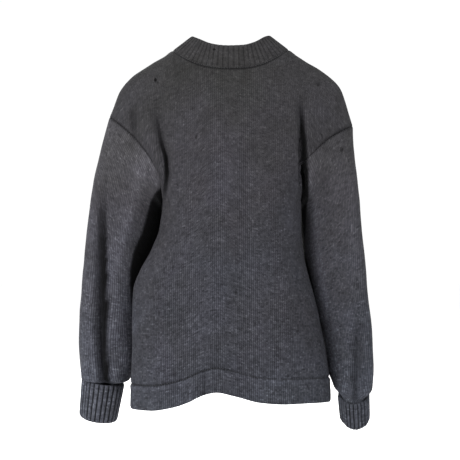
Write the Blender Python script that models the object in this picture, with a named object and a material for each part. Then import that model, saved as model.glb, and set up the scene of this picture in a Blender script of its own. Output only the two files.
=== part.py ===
"""Knitted cardigan, filled out with no wearer. Metres, +Z up, the front faces -Y.

The origin is the middle of the neck base, between the two neck points.
+X is the wearer's left. Cloth walls are closed solids, 0.3 mm apart at the seams.
"""
import math

import bmesh
import bpy
import numpy as np

# Cloth
WALL = 0.0030
SEAM_GAP = 0.0003
HEM_DEPTH = 0.0440
HEM_EXTRA = 0.0016
HEM_GROOVE = 0.0011
RIB_PITCH = 0.0098
RIB_RISE = 0.0013

# Body
ARMPIT_Z = -0.266
BODY_DROP = 0.364
NECK_U = 0.42
FRONT_EDGE = 0.0215
V_POINT_Z = -0.252

# Samples
SHOULDER_COLUMNS = 7
NECK_COLUMNS = 4
YOKE_ROWS = 10
HEM_ROWS = (0.0, 0.004, 0.024, 0.0405, 0.0440, 0.0475, 0.062)
BODY_ROWS = 6
SLEEVE_ROWS = 14

# Bands, cuffs and buttons
BAND_WIDTH = 0.0375
NECKBAND_HEIGHT = 0.0445
BAND_OVERLAP_STEP = 0.0031
BAND_TURN = 0.0055
CUFF_RIBS = 26
CUFF_RIB_RISE = 0.0017
CUFF_SLOT = 0.0005
CUFF_SEAM = 0.0153
BUTTON_RADIUS = 0.0110
BUTTON_HEIGHTS = (-0.292, -0.370, -0.448, -0.526, -0.600)

# height, left half width, right half width, back depth, front depth, roundness
BODY = (
    (-0.640, 0.1790, 0.1772, 0.1120, 0.1070, 0.90),
    (-0.600, 0.1783, 0.1762, 0.1125, 0.1075, 0.90),
    (-0.560, 0.1775, 0.1722, 0.1130, 0.1080, 0.90),
    (-0.480, 0.1760, 0.1570, 0.1140, 0.1100, 0.88),
    (-0.428, 0.1735, 0.1450, 0.1150, 0.1120, 0.86),
    (-0.392, 0.1610, 0.1360, 0.1160, 0.1130, 0.84),
    (-0.356, 0.1420, 0.1285, 0.1170, 0.1140, 0.82),
    (-0.320, 0.1275, 0.1250, 0.1180, 0.1140, 0.82),
    (-0.275, 0.1220, 0.1240, 0.1180, 0.1130, 0.82),
)

# place across (0 centre, 1 armhole), shoulder x, shoulder z, rise power,
# outward power, armhole depth
LEFT_SHOULDER = (
    (0.00, 0.0000, 0.0100, 1.00, 1.0, 0.000),
    (0.42, 0.1050, 0.0000, 1.05, 1.2, 0.005),
    (0.50, 0.1190, -0.0092, 1.10, 1.3, 0.009),
    (0.62, 0.1400, -0.0220, 1.18, 1.4, 0.016),
    (0.78, 0.1760, -0.0460, 1.45, 1.7, 0.033),
    (0.88, 0.1960, -0.0680, 1.70, 1.9, 0.046),
    (1.00, 0.2180, -0.1190, 2.00, 2.2, 0.062),
)
RIGHT_SHOULDER = (
    (0.00, 0.0000, 0.0100, 1.00, 1.0, 0.000),
    (0.42, 0.1040, 0.0020, 1.05, 1.2, 0.005),
    (0.50, 0.1175, -0.0075, 1.10, 1.3, 0.009),
    (0.62, 0.1380, -0.0210, 1.18, 1.5, 0.016),
    (0.78, 0.1740, -0.0460, 1.45, 2.1, 0.033),
    (0.88, 0.1950, -0.0680, 1.70, 2.6, 0.046),
    (1.00, 0.2180, -0.1350, 2.00, 3.2, 0.062),
)

# place across (1 at the left side seam, -1 at the right), height of the lower edge
BACK_HEM = (
    (-1.00, -0.6280),
    (-0.55, -0.6250),
    (-0.31, -0.6240),
    (-0.16, -0.6210),
    (-0.03, -0.6110),
    (0.07, -0.6030),
    (0.15, -0.6080),
    (0.25, -0.6210),
    (0.35, -0.6300),
    (0.55, -0.6380),
    (1.00, -0.6400),
)
FRONT_HEM = (
    (-1.00, -0.6280),
    (-0.38, -0.6270),
    (-0.14, -0.6200),
    (0.00, -0.6175),
    (0.14, -0.6190),
    (0.38, -0.6300),
    (1.00, -0.6400),
)

# place along, outer x, outer z, inner x, inner z, outer y, inner y, half depth, drop at the back
LEFT_SLEEVE = (
    (0.0, 0.2180, -0.1190, 0.1220, -0.2660, 0.000, 0.000, 0.0620, 0.0),
    (1.0, 0.2255, -0.1480, 0.1350, -0.2725, 0.000, -0.008, 0.0635, 0.0),
    (2.0, 0.2345, -0.1840, 0.1262, -0.2810, 0.002, -0.041, 0.0640, 0.0),
    (3.0, 0.2430, -0.2220, 0.1280, -0.3140, 0.005, -0.055, 0.0625, 0.0),
    (4.0, 0.2500, -0.2640, 0.1395, -0.3490, 0.003, -0.059, 0.0600, 0.0),
    (5.0, 0.2578, -0.3120, 0.1515, -0.3820, -0.006, -0.062, 0.0570, 0.0),
    (6.0, 0.2640, -0.3650, 0.1640, -0.4170, -0.022, -0.064, 0.0540, 0.0),
    (7.0, 0.2700, -0.4220, 0.1695, -0.4530, -0.038, -0.064, 0.0520, 0.0),
    (8.0, 0.2750, -0.4780, 0.1710, -0.4920, -0.048, -0.064, 0.0510, 0.0),
    (9.0, 0.2770, -0.5220, 0.1715, -0.5280, -0.052, -0.062, 0.0500, 0.001),
    (10.0, 0.2750, -0.5600, 0.1775, -0.5620, -0.057, -0.060, 0.0480, 0.003),
    (11.0, 0.2735, -0.5840, 0.1870, -0.5840, -0.060, -0.060, 0.0440, 0.004),
)
RIGHT_SLEEVE = (
    (0.0, 0.2180, -0.1350, 0.1240, -0.2660, 0.000, 0.000, 0.0620, 0.0),
    (1.0, 0.2190, -0.1600, 0.1350, -0.2722, 0.001, -0.008, 0.0630, 0.0),
    (2.0, 0.2205, -0.1900, 0.1275, -0.2810, 0.008, -0.040, 0.0630, 0.0),
    (3.0, 0.2235, -0.2250, 0.1280, -0.3140, 0.018, -0.053, 0.0620, 0.0),
    (4.0, 0.2262, -0.2640, 0.1320, -0.3460, 0.030, -0.051, 0.0600, 0.0),
    (5.0, 0.2302, -0.3120, 0.1325, -0.3770, 0.038, -0.055, 0.0570, 0.0),
    (6.0, 0.2352, -0.3650, 0.1375, -0.4120, 0.044, -0.056, 0.0540, 0.0),
    (7.0, 0.2398, -0.4220, 0.1465, -0.4520, 0.046, -0.060, 0.0520, 0.0),
    (8.0, 0.2465, -0.4780, 0.1575, -0.4940, 0.046, -0.061, 0.0510, 0.001),
    (9.0, 0.2500, -0.5250, 0.1685, -0.5340, 0.042, -0.056, 0.0500, 0.005),
    (10.0, 0.2518, -0.5660, 0.1750, -0.5680, 0.036, -0.042, 0.0490, 0.010),
    (11.0, 0.2500, -0.5940, 0.1855, -0.5930, 0.030, -0.006, 0.0475, 0.015),
)

# Turned-back cuffs: free edge centre, fold centre, half width and half depth at each
LEFT_CUFF = {
    "top": (0.2338, -0.0615, -0.5975),
    "fold": (0.2440, -0.0690, -0.6675),
    "top_size": (0.0335, 0.0390),
    "fold_size": (0.0288, 0.0360),
}
RIGHT_CUFF = {
    "top": (-0.2190, 0.0240, -0.6110),
    "fold": (-0.2232, 0.0045, -0.6590),
    "top_size": (0.0222, 0.0430),
    "fold_size": (0.0205, 0.0410),
}

# Folds: pieces, face (1 back, -1 front), half width, then x, z and height at each point
FOLDS = (
    ("both", 1, 0.011, ((0.136, -0.085, 0.0), (0.130, -0.140, -0.003), (0.121, -0.200, -0.007),
                        (0.119, -0.250, -0.006), (0.120, -0.300, 0.0))),
    ("both", 1, 0.009, ((0.180, -0.100, 0.0), (0.176, -0.130, -0.003), (0.168, -0.165, 0.0))),
    ("both", 1, 0.010, ((-0.118, -0.080, 0.0), (-0.123, -0.130, -0.004), (-0.130, -0.180, -0.008),
                        (-0.132, -0.230, -0.006), (-0.132, -0.280, 0.0))),
    ("body", 1, 0.016, ((0.064, -0.520, 0.0), (0.062, -0.580, 0.004), (0.060, -0.640, 0.006))),
    ("body", 1, 0.008, ((0.050, -0.550, 0.0), (0.047, -0.590, -0.005), (0.047, -0.640, -0.007))),
    ("body", 1, 0.030, ((0.010, -0.300, 0.0), (-0.015, -0.420, -0.004), (-0.030, -0.540, -0.005),
                        (-0.020, -0.640, -0.003))),
    ("body", 1, 0.026, ((-0.100, -0.380, 0.0), (-0.096, -0.500, 0.004), (-0.090, -0.640, 0.006))),
    ("body", 1, 0.024, ((0.110, -0.330, 0.0), (0.118, -0.470, 0.003), (0.116, -0.640, 0.004))),
    ("body", -1, 0.022, ((0.125, -0.300, 0.0), (0.105, -0.420, -0.005), (0.095, -0.640, -0.006))),
    ("body", -1, 0.022, ((-0.125, -0.300, 0.0), (-0.098, -0.440, -0.005), (-0.100, -0.640, -0.004))),
    ("body", -1, 0.020, ((0.066, -0.380, 0.0), (0.060, -0.520, 0.004), (0.058, -0.640, 0.005))),
    ("both", -1, 0.011, ((0.134, -0.090, 0.0), (0.128, -0.150, -0.004), (0.122, -0.220, -0.006),
                         (0.121, -0.290, 0.0))),
    ("both", -1, 0.011, ((-0.130, -0.090, 0.0), (-0.130, -0.160, -0.005), (-0.128, -0.230, -0.006),
                         (-0.128, -0.290, 0.0))),
    ("sleeve", 1, 0.010, ((0.236, -0.300, 0.0), (0.233, -0.400, -0.004), (0.229, -0.500, -0.008),
                          (0.229, -0.570, -0.009), (0.229, -0.592, -0.003))),
    ("sleeve", 1, 0.012, ((0.205, -0.400, 0.0), (0.202, -0.480, 0.004), (0.203, -0.575, 0.003),
                          (0.204, -0.592, 0.0))),
    ("sleeve", 1, 0.009, ((-0.222, -0.440, 0.0), (-0.222, -0.520, -0.004), (-0.221, -0.590, -0.006),
                          (-0.220, -0.622, -0.002))),
    ("sleeve", -1, 0.011, ((0.222, -0.330, 0.0), (0.226, -0.420, -0.005), (0.228, -0.520, -0.005),
                           (0.230, -0.592, 0.0))),
    ("sleeve", -1, 0.011, ((-0.196, -0.300, 0.0), (-0.204, -0.400, -0.006), (-0.212, -0.500, -0.005),
                           (-0.216, -0.620, 0.0))),
)


def along(table, place):
    """Read a table smoothly: first column is the place, the others come back."""
    rows = np.asarray(table, float)
    keys = rows[:, 0]
    values = rows[:, 1:]
    place = np.clip(np.asarray(place, float), keys[0], keys[-1])
    step = np.diff(keys)[:, None]
    rise = np.diff(values, axis=0) / step
    slope = np.zeros_like(values)
    slope[0] = rise[0]
    slope[-1] = rise[-1]
    if len(keys) > 2:
        before = rise[:-1]
        after = rise[1:]
        same = before * after > 0
        safe_before = np.where(same, before, 1.0)
        safe_after = np.where(same, after, 1.0)
        first = 2 * step[1:] + step[:-1]
        second = step[1:] + 2 * step[:-1]
        mean = (first + second) / (first / safe_before + second / safe_after)
        slope[1:-1] = np.where(same, mean, 0.0)
    index = np.clip(np.searchsorted(keys, place, side="right") - 1, 0, len(keys) - 2)
    width = step[index, 0]
    part = ((place - keys[index]) / width)[..., None]
    width = width[..., None]
    low = (1 + 2 * part) * (1 - part) ** 2 * values[index]
    low = low + part * (1 - part) ** 2 * width * slope[index]
    high = part * part * (3 - 2 * part) * values[index + 1]
    high = high + part * part * (part - 1) * width * slope[index + 1]
    return low + high


def smooth(value):
    """Ease from 0 to 1."""
    value = np.clip(value, 0.0, 1.0)
    return value * value * (3 - 2 * value)


def body_point(face, across, height):
    """Point of the body below the armpits; across is 1 at the left side seam, -1 at the right."""
    sizes = along(BODY, height)
    half = np.where(across >= 0, sizes[..., 0], sizes[..., 1])
    deep = sizes[..., 2] if face > 0 else sizes[..., 3]
    angle = np.abs(across) * math.pi / 2
    x = np.sign(across) * half * np.sin(angle) ** sizes[..., 4]
    y = face * deep * np.clip(np.cos(angle), 0.0, 1.0) ** sizes[..., 4]
    return np.stack([x, y, height + 0.0 * x], axis=-1)


def yoke_point(face, across, angle):
    """Point above the armpits; angle runs from 0 at the armpit level to a right angle."""
    across = across + 0.0 * angle
    base = body_point(face, across, np.full_like(across, ARMPIT_Z))
    left = along(LEFT_SHOULDER, np.abs(across))
    right = along(RIGHT_SHOULDER, np.abs(across))
    sizes = np.where((across >= 0)[..., None], left, right)
    part = np.sin(angle) ** sizes[..., 2]
    z = ARMPIT_Z + (sizes[..., 1] - ARMPIT_Z) * part
    reach = np.sign(across) * sizes[..., 0]
    x = base[..., 0] + (reach - base[..., 0]) * part ** sizes[..., 3]
    y = base[..., 1] * np.clip(np.cos(angle), 0.0, 1.0)
    y = y + face * sizes[..., 4] * np.sin(2 * angle)
    return np.stack([x, y, z], axis=-1)


def neck_line(face, x):
    """Height of the neck seam at x."""
    left = LEFT_SHOULDER[1]
    right = RIGHT_SHOULDER[1]
    reach = np.where(x >= 0, left[1], right[1])
    top = np.where(x >= 0, left[2], right[2])
    if face > 0:
        part = np.clip(np.abs(x) / reach, 0.0, 1.0)
        low = -0.0355
        return low + (top - low) * part ** 2.4
    part = np.clip((np.abs(x) - FRONT_EDGE) / (reach - FRONT_EDGE), 0.0, 1.0)
    return V_POINT_Z + (top - V_POINT_Z) * part ** 0.95


def top_angle(face, across):
    """Angle where each column ends: the neck seam, or the shoulder seam outside it."""
    low = np.zeros_like(across)
    high = np.full_like(across, math.pi / 2)
    for _ in range(40):
        middle = (low + high) / 2
        point = yoke_point(face, across, middle)
        over = point[..., 2] > neck_line(face, point[..., 0])
        high = np.where(over, middle, high)
        low = np.where(over, low, middle)
    outside = np.abs(across) >= NECK_U - 1e-9
    return np.where(outside, math.pi / 2, high)


def front_across(height, neck_places):
    """Columns between the front edge and the neck point, kept straight at the front edge."""
    sizes = along(BODY, height)
    out = []
    for sign in (1, -1):
        half = sizes[..., 0] if sign > 0 else sizes[..., 1]
        edge = (FRONT_EDGE / half) ** (1 / sizes[..., 4])
        start = np.arcsin(edge) * 2 / math.pi
        out.append(sign * (start[..., None] + (NECK_U - start[..., None]) * neck_places))
    return out


def hem_height(face, across):
    """Height of the lower edge."""
    table = BACK_HEM if face > 0 else FRONT_HEM
    return along(table, across)[..., 0]


def row_heights(lower, face, across):
    """Heights of the rows between the hem and the armpit level, for each column."""
    hem = hem_height(face, across)
    lift = ARMPIT_Z - hem - BODY_DROP
    return hem + lower + lift * smooth(lower / BODY_DROP)


def body_panel(face, half, lower, yoke, shoulder, neck):
    """Middle surface of a panel, rows upwards, and each row's height above the hem."""
    if face > 0:
        outer = np.linspace(1.0, NECK_U, shoulder + 1)
        inner = np.linspace(NECK_U, 0.0, neck + 1)[1:]
        side = np.concatenate([outer, inner])
        columns = np.concatenate([side, -side[::-1][1:]])
        columns = np.repeat(columns[None, :], len(lower), axis=0)
    else:
        places = np.linspace(0.0, 1.0, neck + 1)
        outer = np.linspace(NECK_U, 1.0, shoulder + 1)[1:]
        outer = np.repeat(outer[None, :], len(lower), axis=0)
        pick = 0 if half > 0 else 1
        start = front_across(ARMPIT_Z + 0.0 * lower, places)[pick]
        columns = np.concatenate([start, half * outer], axis=1)
        if half < 0:
            columns = columns[:, ::-1]
    rows = row_heights(np.asarray(lower)[:, None], face, columns)
    if face < 0:
        fitted = []
        for index in range(len(lower)):
            line = rows[index]
            edge = line[0] if half > 0 else line[-1]
            start = front_across(np.array([edge]), places)[pick][0]
            row = np.concatenate([start, half * outer[index]])
            fitted.append(row if half > 0 else row[::-1])
        columns = np.stack(fitted)
        rows = row_heights(np.asarray(lower)[:, None], face, columns)
    low = body_point(face, columns, rows)
    top = columns[-1]
    limit = top_angle(face, top)
    parts = np.linspace(0.0, 1.0, yoke + 1)[1:]
    high = yoke_point(face, np.repeat(top[None, :], yoke, axis=0), parts[:, None] * limit[None, :])
    above = np.asarray(lower)[:, None] + 0.0 * low[..., 0]
    far = np.full(high.shape[:2], 1.0)
    return np.concatenate([low, high]), np.concatenate([above, far])


def armhole_ring(side, yoke):
    """The armhole: shoulder tip, down the back, armpit, up the front."""
    angles = np.linspace(math.pi / 2, 0.0, yoke + 1)
    edge = np.full_like(angles, float(side))
    back = yoke_point(1, edge, angles)
    front = yoke_point(-1, edge, angles)
    return np.concatenate([back, front[::-1][1:-1]])


def sleeve_rings(side, places, yoke):
    """Middle surface of a sleeve, rings downwards from the armhole into the cuff."""
    table = LEFT_SLEEVE if side > 0 else RIGHT_SLEEVE
    cuff = LEFT_CUFF if side > 0 else RIGHT_CUFF
    sizes = along(table, places)
    hole = armhole_ring(side, yoke)
    turn = np.linspace(0.0, 2 * math.pi, 2 * yoke + 1)[:-1]
    rings = []
    for size in sizes:
        rings.append(ellipse_ring(side, size, turn))
    shift = hole - ellipse_ring(side, along(table, 0.0), turn)
    keep = np.clip(1 - np.asarray(places) / 3.5, 0.0, 1.0) ** 1.6
    rings = np.stack(rings) + keep[:, None, None] * shift[None]
    rings[0] = hole
    level = -CUFF_SLOT - WALL / 2
    ends = [cuff_ring(side, cuff, down, level, turn) for down in (-0.0030, CUFF_SEAM - SEAM_GAP / 2)]
    bulge = 0.5 * rings[-1] + 0.5 * ends[0]
    bulge = bulge + 0.35 * (rings[-1] - ends[0]) * np.array([1.0, 1.0, 0.0])
    return np.concatenate([rings, bulge[None], np.stack(ends)])


def cuff_ring(side, cuff, down, level, turn):
    """Loop round the cuff, down from its free edge, level away from its slot."""
    top = np.array(cuff["top"])
    axis = np.array(cuff["fold"]) - top
    long = np.linalg.norm(axis)
    axis = axis / long
    across = np.array([1.0, 0.0, 0.0]) - axis[0] * axis
    across = side * across / np.linalg.norm(across)
    back = side * np.cross(across, axis)
    part = down / long
    size = (1 - part) * np.array(cuff["top_size"]) + part * np.array(cuff["fold_size"])
    wide = np.cos(turn)[:, None] * across
    deep = np.sin(turn)[:, None] * back
    out = unit(wide / size[0] + deep / size[1])
    return top + axis * down + wide * size[0] + deep * size[1] + out * (level + 0.0 * turn)[:, None]


def ellipse_ring(side, size, turn):
    """One sleeve section between its outer and inner points."""
    outer = np.array([side * size[0], size[4], size[1]])
    inner = np.array([side * size[2], size[5], size[3]])
    middle = (outer + inner) / 2
    reach = (outer - inner) / 2
    deep = np.array([0.0, size[6], -size[7]])
    return middle + np.cos(turn)[:, None] * reach + np.sin(turn)[:, None] * deep


def fold_height(kind, points, normals):
    """Height of the folds at each point, over the plain form."""
    total = np.zeros(points.shape[:-1])
    for pieces, face, half, line in FOLDS:
        if pieces != "both" and pieces != kind:
            continue
        line = np.asarray(line)
        best = np.full(total.shape, 1e9)
        height = np.zeros(total.shape)
        for start, end in zip(line[:-1], line[1:]):
            run = end[:2] - start[:2]
            x = points[..., 0] - start[0]
            z = points[..., 2] - start[1]
            part = np.clip((x * run[0] + z * run[1]) / (run @ run), 0.0, 1.0)
            away = np.hypot(x - part * run[0], z - part * run[1])
            nearer = away < best
            best = np.where(nearer, away, best)
            height = np.where(nearer, start[2] + (end[2] - start[2]) * part, height)
        facing = smooth(face * normals[..., 1] * 1.6)
        total = total + height * np.exp(-((best / half) ** 2)) * facing
    return total


def grid_normals(grids):
    """Wall directions of the panels, shared and lengthened where their edges meet at an angle."""
    sums = {}
    for points, closed, flip, _ in grids.values():
        after = np.roll(points, -1, axis=1) if closed else points[:, 1:]
        base = points if closed else points[:, :-1]
        face = np.cross(after[1:] - base[:-1], base[1:] - after[:-1]) * (-1 if flip else 1)
        total = np.zeros_like(points)
        spans = face.shape[1]
        total[:-1, :spans] += face
        total[1:, :spans] += face
        if closed:
            total[:-1] += np.roll(face, 1, axis=1)
            total[1:] += np.roll(face, 1, axis=1)
        else:
            total[:-1, 1:] += face
            total[1:, 1:] += face
        for key, value in zip(np.round(points.reshape(-1, 3), 6).tolist(), unit(total.reshape(-1, 3))):
            sums.setdefault(tuple(key), []).append(value)
    normals = {}
    for name, (points, _, _, _) in grids.items():
        found = []
        for key in np.round(points.reshape(-1, 3), 6).tolist():
            parts = sums[tuple(key)]
            total = np.sum(parts, axis=0)
            size = np.linalg.norm(total) / len(parts)
            found.append(total / np.linalg.norm(total) / max(size, 0.6))
        normals[name] = np.array(found).reshape(points.shape)
    return normals


def pull_back(points, normals, closed):
    """Shift the open edges back by half a seam gap, and further where the seam is a sharp corner."""
    moved = points.copy()

    def step(edge, inside, normal):
        run = inside - edge
        sharp = (normal * normal).sum(-1)[..., None]
        return SEAM_GAP / 2 * sharp * run / np.linalg.norm(run, axis=-1)[..., None]

    moved[0] += step(points[0], points[1], normals[0])
    moved[-1] += step(points[-1], points[-2], normals[-1])
    if not closed:
        moved[:, 0] += step(points[:, 0], points[:, 1], normals[:, 0])
        moved[:, -1] += step(points[:, -1], points[:, -2], normals[:, -1])
    return moved


def make_object(name, vertices, faces, colour, roughness):
    """One closed solid with its own material."""
    mesh = bpy.data.meshes.new(name)
    work = bmesh.new()
    made = [work.verts.new(tuple(point)) for point in vertices]
    for face in faces:
        work.faces.new([made[index] for index in face])
    bmesh.ops.triangulate(work, faces=list(work.faces))
    bmesh.ops.recalc_face_normals(work, faces=list(work.faces))
    work.to_mesh(mesh)
    work.free()
    material = bpy.data.materials.new(name)
    material.use_nodes = True
    shader = material.node_tree.nodes["Principled BSDF"]
    shader.inputs["Base Color"].default_value = colour + (1.0,)
    shader.inputs["Roughness"].default_value = roughness
    mesh.materials.append(material)
    item = bpy.data.objects.new(name, mesh)
    bpy.context.scene.collection.objects.link(item)
    return item


def sheet_solid(name, outer, inner, closed, colour):
    """Closed wall between an outer and an inner grid."""
    rows, columns = outer.shape[:2]
    count = rows * columns
    vertices = np.concatenate([outer.reshape(-1, 3), inner.reshape(-1, 3)])
    faces = []
    spans = columns if closed else columns - 1
    for row in range(rows - 1):
        for column in range(spans):
            after = (column + 1) % columns
            a = row * columns + column
            b = row * columns + after
            c = (row + 1) * columns + after
            d = (row + 1) * columns + column
            faces.append((a, b, c, d))
            faces.append((count + d, count + c, count + b, count + a))
    for column in range(spans):
        after = (column + 1) % columns
        faces.append((after, column, count + column, count + after))
        a = (rows - 1) * columns + column
        b = (rows - 1) * columns + after
        faces.append((a, b, count + b, count + a))
    if not closed:
        for row in range(rows - 1):
            a = row * columns
            b = (row + 1) * columns
            faces.append((a, b, count + b, count + a))
            a += columns - 1
            b += columns - 1
            faces.append((b, a, count + a, count + b))
    return make_object(name, vertices, faces, colour, 0.95)


def ring_solid(name, rings, closed_path, colour, roughness=0.95):
    """Closed solid swept from section loops; the ends are capped when the path is open."""
    count, points = rings.shape[:2]
    faces = []
    for index in range(count if closed_path else count - 1):
        after = (index + 1) % count
        for point in range(points):
            beside = (point + 1) % points
            faces.append((index * points + point, index * points + beside,
                          after * points + beside, after * points + point))
    if not closed_path:
        faces.append(tuple(range(points))[::-1])
        faces.append(tuple((count - 1) * points + point for point in range(points)))
    return make_object(name, rings.reshape(-1, 3), faces, colour, roughness)


def hem_walls(above):
    """Extra outer and inner wall at the doubled hem, by height above the lower edge."""
    inside = smooth((HEM_DEPTH + 0.0015 - above) / 0.002)
    line = np.exp(-(((above - HEM_DEPTH) / 0.0018) ** 2))
    outer = 0.0006 * inside - HEM_GROOVE * line
    inner = HEM_EXTRA * inside
    return outer, inner


def rib_section(width):
    """Section of a band: place across, side of the wall, part of the seam's own normal."""
    first = SEAM_GAP / 2
    return (
        (first, 1, 1.0),
        (first + BAND_TURN, 1, 0.0),
        (width, 1, 0.0),
        (width, -1, 0.0),
        (first + BAND_TURN, -1, 0.0),
        (first, -1, 1.0),
    )


def line_length(points):
    """Distance along a line of points."""
    steps = np.linalg.norm(np.diff(points, axis=0), axis=1)
    return np.concatenate([[0.0], np.cumsum(steps)])


def read_line(points, lengths, place):
    """Points of a line at the given distances."""
    return np.stack([np.interp(place, lengths, points[:, axis]) for axis in range(3)], axis=-1)


def unit(vectors):
    return vectors / np.linalg.norm(vectors, axis=-1)[..., None]


def collar_line(folded, normals, lower):
    """Seam line of the whole band, from the left hem over the back neck to the right hem.

    Returns points, seam normals, directions away from the seam, steps outwards, and the
    index of the two neck points and the two V corners.
    """
    columns = SHOULDER_COLUMNS
    parts = []
    for name, side in (("front_left", 1), ("front_right", -1)):
        points, shared = folded[name][0], normals[name]
        if side < 0:
            points, shared = points[:, ::-1], shared[:, ::-1]
        keep = list(range(lower)) + [len(points) - 1]
        line = np.concatenate([points[keep, 0], points[-1, 1: NECK_COLUMNS]])
        normal = np.concatenate([shared[keep, 0], shared[-1, 1: NECK_COLUMNS]])
        up = np.concatenate([np.zeros(lower), np.linspace(0.0, 1.0, NECK_COLUMNS + 1)[:-1]])
        flat = np.array([-side * 0.96, -0.02, 0.27])
        high = np.array([-side * 0.80, 0.0, 0.60])
        reach = flat + (high - flat) * (up ** 2.0)[:, None]
        reach[: lower + 1] = (-side, 0.0, 0.0)
        step = side * BAND_OVERLAP_STEP * (1 - smooth((up - 0.25) / 0.5))
        parts.append((line, normal, reach, step))
    neck = folded["back"][0][-1][columns: columns + 2 * NECK_COLUMNS + 1]
    neck_normal = normals["back"][-1][columns: columns + 2 * NECK_COLUMNS + 1]
    spread = np.linspace(-1.0, 1.0, len(neck))
    near = np.abs(spread) ** 1.6
    lean = np.stack([np.sign(spread) * 0.80 * near, -0.34 * (1 - near), 0.94 - 0.34 * near], axis=-1)
    left, right = parts
    points = np.concatenate([left[0], neck, right[0][::-1]])
    normal = np.concatenate([left[1], neck_normal, right[1][::-1]])
    reach = np.concatenate([left[2], lean, right[2][::-1]])
    step = np.concatenate([left[3], np.zeros(len(neck)), right[3][::-1]])
    first = len(left[0])
    last = first + len(neck) - 1
    return points, normal, unit(reach), step, (lower, first, last, len(points) - 1 - lower)


def collar_stations(lengths, marks, per_rib, neck_per_rib):
    """Places along the collar with whole ribs in each of its three pieces."""
    corner, first, last, other = marks
    cuts = (0.0, lengths[first], lengths[last], lengths[-1])
    out = []
    for index, count in enumerate((per_rib, neck_per_rib, per_rib)):
        start, end = cuts[index], cuts[index + 1]
        ribs = max(2, int(round((end - start) / RIB_PITCH)))
        places = np.linspace(start, end, ribs * count + 1)
        if index != 1:
            mark = lengths[corner if index == 0 else other]
            places[np.argmin(np.abs(places - mark))] = mark
        out.append(places)
    return out


def collar_sections(points, normal, reach, step, places):
    """Seam point, outward side, direction away and outward step at each place."""
    lengths = line_length(points)
    seam = read_line(points, lengths, places)
    first = read_line(normal, lengths, places)
    away = unit(read_line(reach, lengths, places))
    shift = np.interp(places, lengths, step)
    run = unit(np.gradient(seam, places, axis=0))
    out = unit(np.cross(run, away))
    out = out * np.sign((out * first).sum(-1))[:, None]
    return seam, first, away, out, shift


def widening(seam, neck_end):
    """How much a front band widens towards the neckband."""
    lengths = line_length(seam)
    gone = lengths[-1] - lengths if neck_end > 0 else lengths
    return 1 + (NECKBAND_HEIGHT / BAND_WIDTH - 1) * smooth(1 - gone / 0.09)


def band_solid(name, sections, start, end, width, neck_end, colour, per_rib):
    """Ribbed strip between two stations of the collar."""
    seam, first, away, out, shift = [values[start: end + 1].copy() for values in sections]
    if neck_end:
        away = away * widening(seam, neck_end)[:, None]
    seam[0] += SEAM_GAP / 2 * unit(seam[1] - seam[0])
    seam[-1] += SEAM_GAP / 2 * unit(seam[-2] - seam[-1])
    high = np.where(np.arange(len(seam)) % per_rib == 0, 0.0, 1.0)
    rings = []
    for place, face, keep in rib_section(width):
        level = face * WALL / 2 + shift * min(1.0, place / BAND_TURN)
        if face > 0 and keep == 0.0:
            level = level + RIB_RISE * high
        side = out * (1 - keep) + first * keep
        rings.append(seam + away * place + side * level[:, None])
    return ring_solid(name, np.stack(rings, axis=1), False, colour)


def cuff_solid(name, side, cuff, colour):
    """Cuff turned back on itself: two layers joined by a round fold, ribs on the outer one."""
    long = np.linalg.norm(np.array(cuff["fold"]) - np.array(cuff["top"]))
    steps = CUFF_RIBS * 3
    turn = np.arange(steps) / steps * 2 * math.pi
    high = np.where(np.arange(steps) % 3 == 0, 0.0, 1.0)
    inner = -CUFF_SLOT - WALL
    outer = CUFF_SLOT + WALL
    # distance from the slot, distance from the free edge, part of the rib height
    section = (
        (outer - 0.0006, 0.0, 0.3),
        (outer, 0.0022, 1.0),
        (outer, long - 0.0090, 1.0),
        (outer - 0.0010, long - 0.0030, 0.8),
        (0.0003, long, 0.3),
        (inner + 0.0006, long - 0.0035, 0.0),
        (inner, CUFF_SEAM + SEAM_GAP / 2, 0.0),
        (-CUFF_SLOT, CUFF_SEAM + SEAM_GAP / 2, 0.0),
        (-CUFF_SLOT, long - 0.0070, 0.0),
        (CUFF_SLOT, long - 0.0070, 0.0),
        (CUFF_SLOT, 0.0, 0.0),
    )
    loops = []
    for reach, down, keep in section:
        loops.append(cuff_ring(side, cuff, down, reach + CUFF_RIB_RISE * keep * high, turn))
    return ring_solid(name, np.stack(loops, axis=1), True, colour)


def button_solid(name, centre, out, colour):
    """Plain round button with a raised rim."""
    out = unit(np.array(out))
    across = unit(np.cross(out, np.array([0.0, 0.0, 1.0])))
    up = np.cross(across, out)
    sides = 14
    turn = np.arange(sides) / sides * 2 * math.pi
    profile = ((0.73, 0.0), (1.0, 0.0012), (0.98, 0.0030), (0.82, 0.0035), (0.68, 0.0026))
    rows = []
    for radius, height in profile:
        ring = np.cos(turn)[:, None] * across + np.sin(turn)[:, None] * up
        rows.append(centre + ring * radius * BUTTON_RADIUS + out * height)
    points = np.stack(rows)
    faces = []
    for row in range(len(profile) - 1):
        for index in range(sides):
            after = (index + 1) % sides
            faces.append((row * sides + index, row * sides + after,
                          (row + 1) * sides + after, (row + 1) * sides + index))
    last = sides * (len(profile) - 1)
    faces.append(tuple(range(sides))[::-1])
    faces.append(tuple(last + index for index in range(sides)))
    return make_object(name, points.reshape(-1, 3), faces, colour, 0.35)


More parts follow.
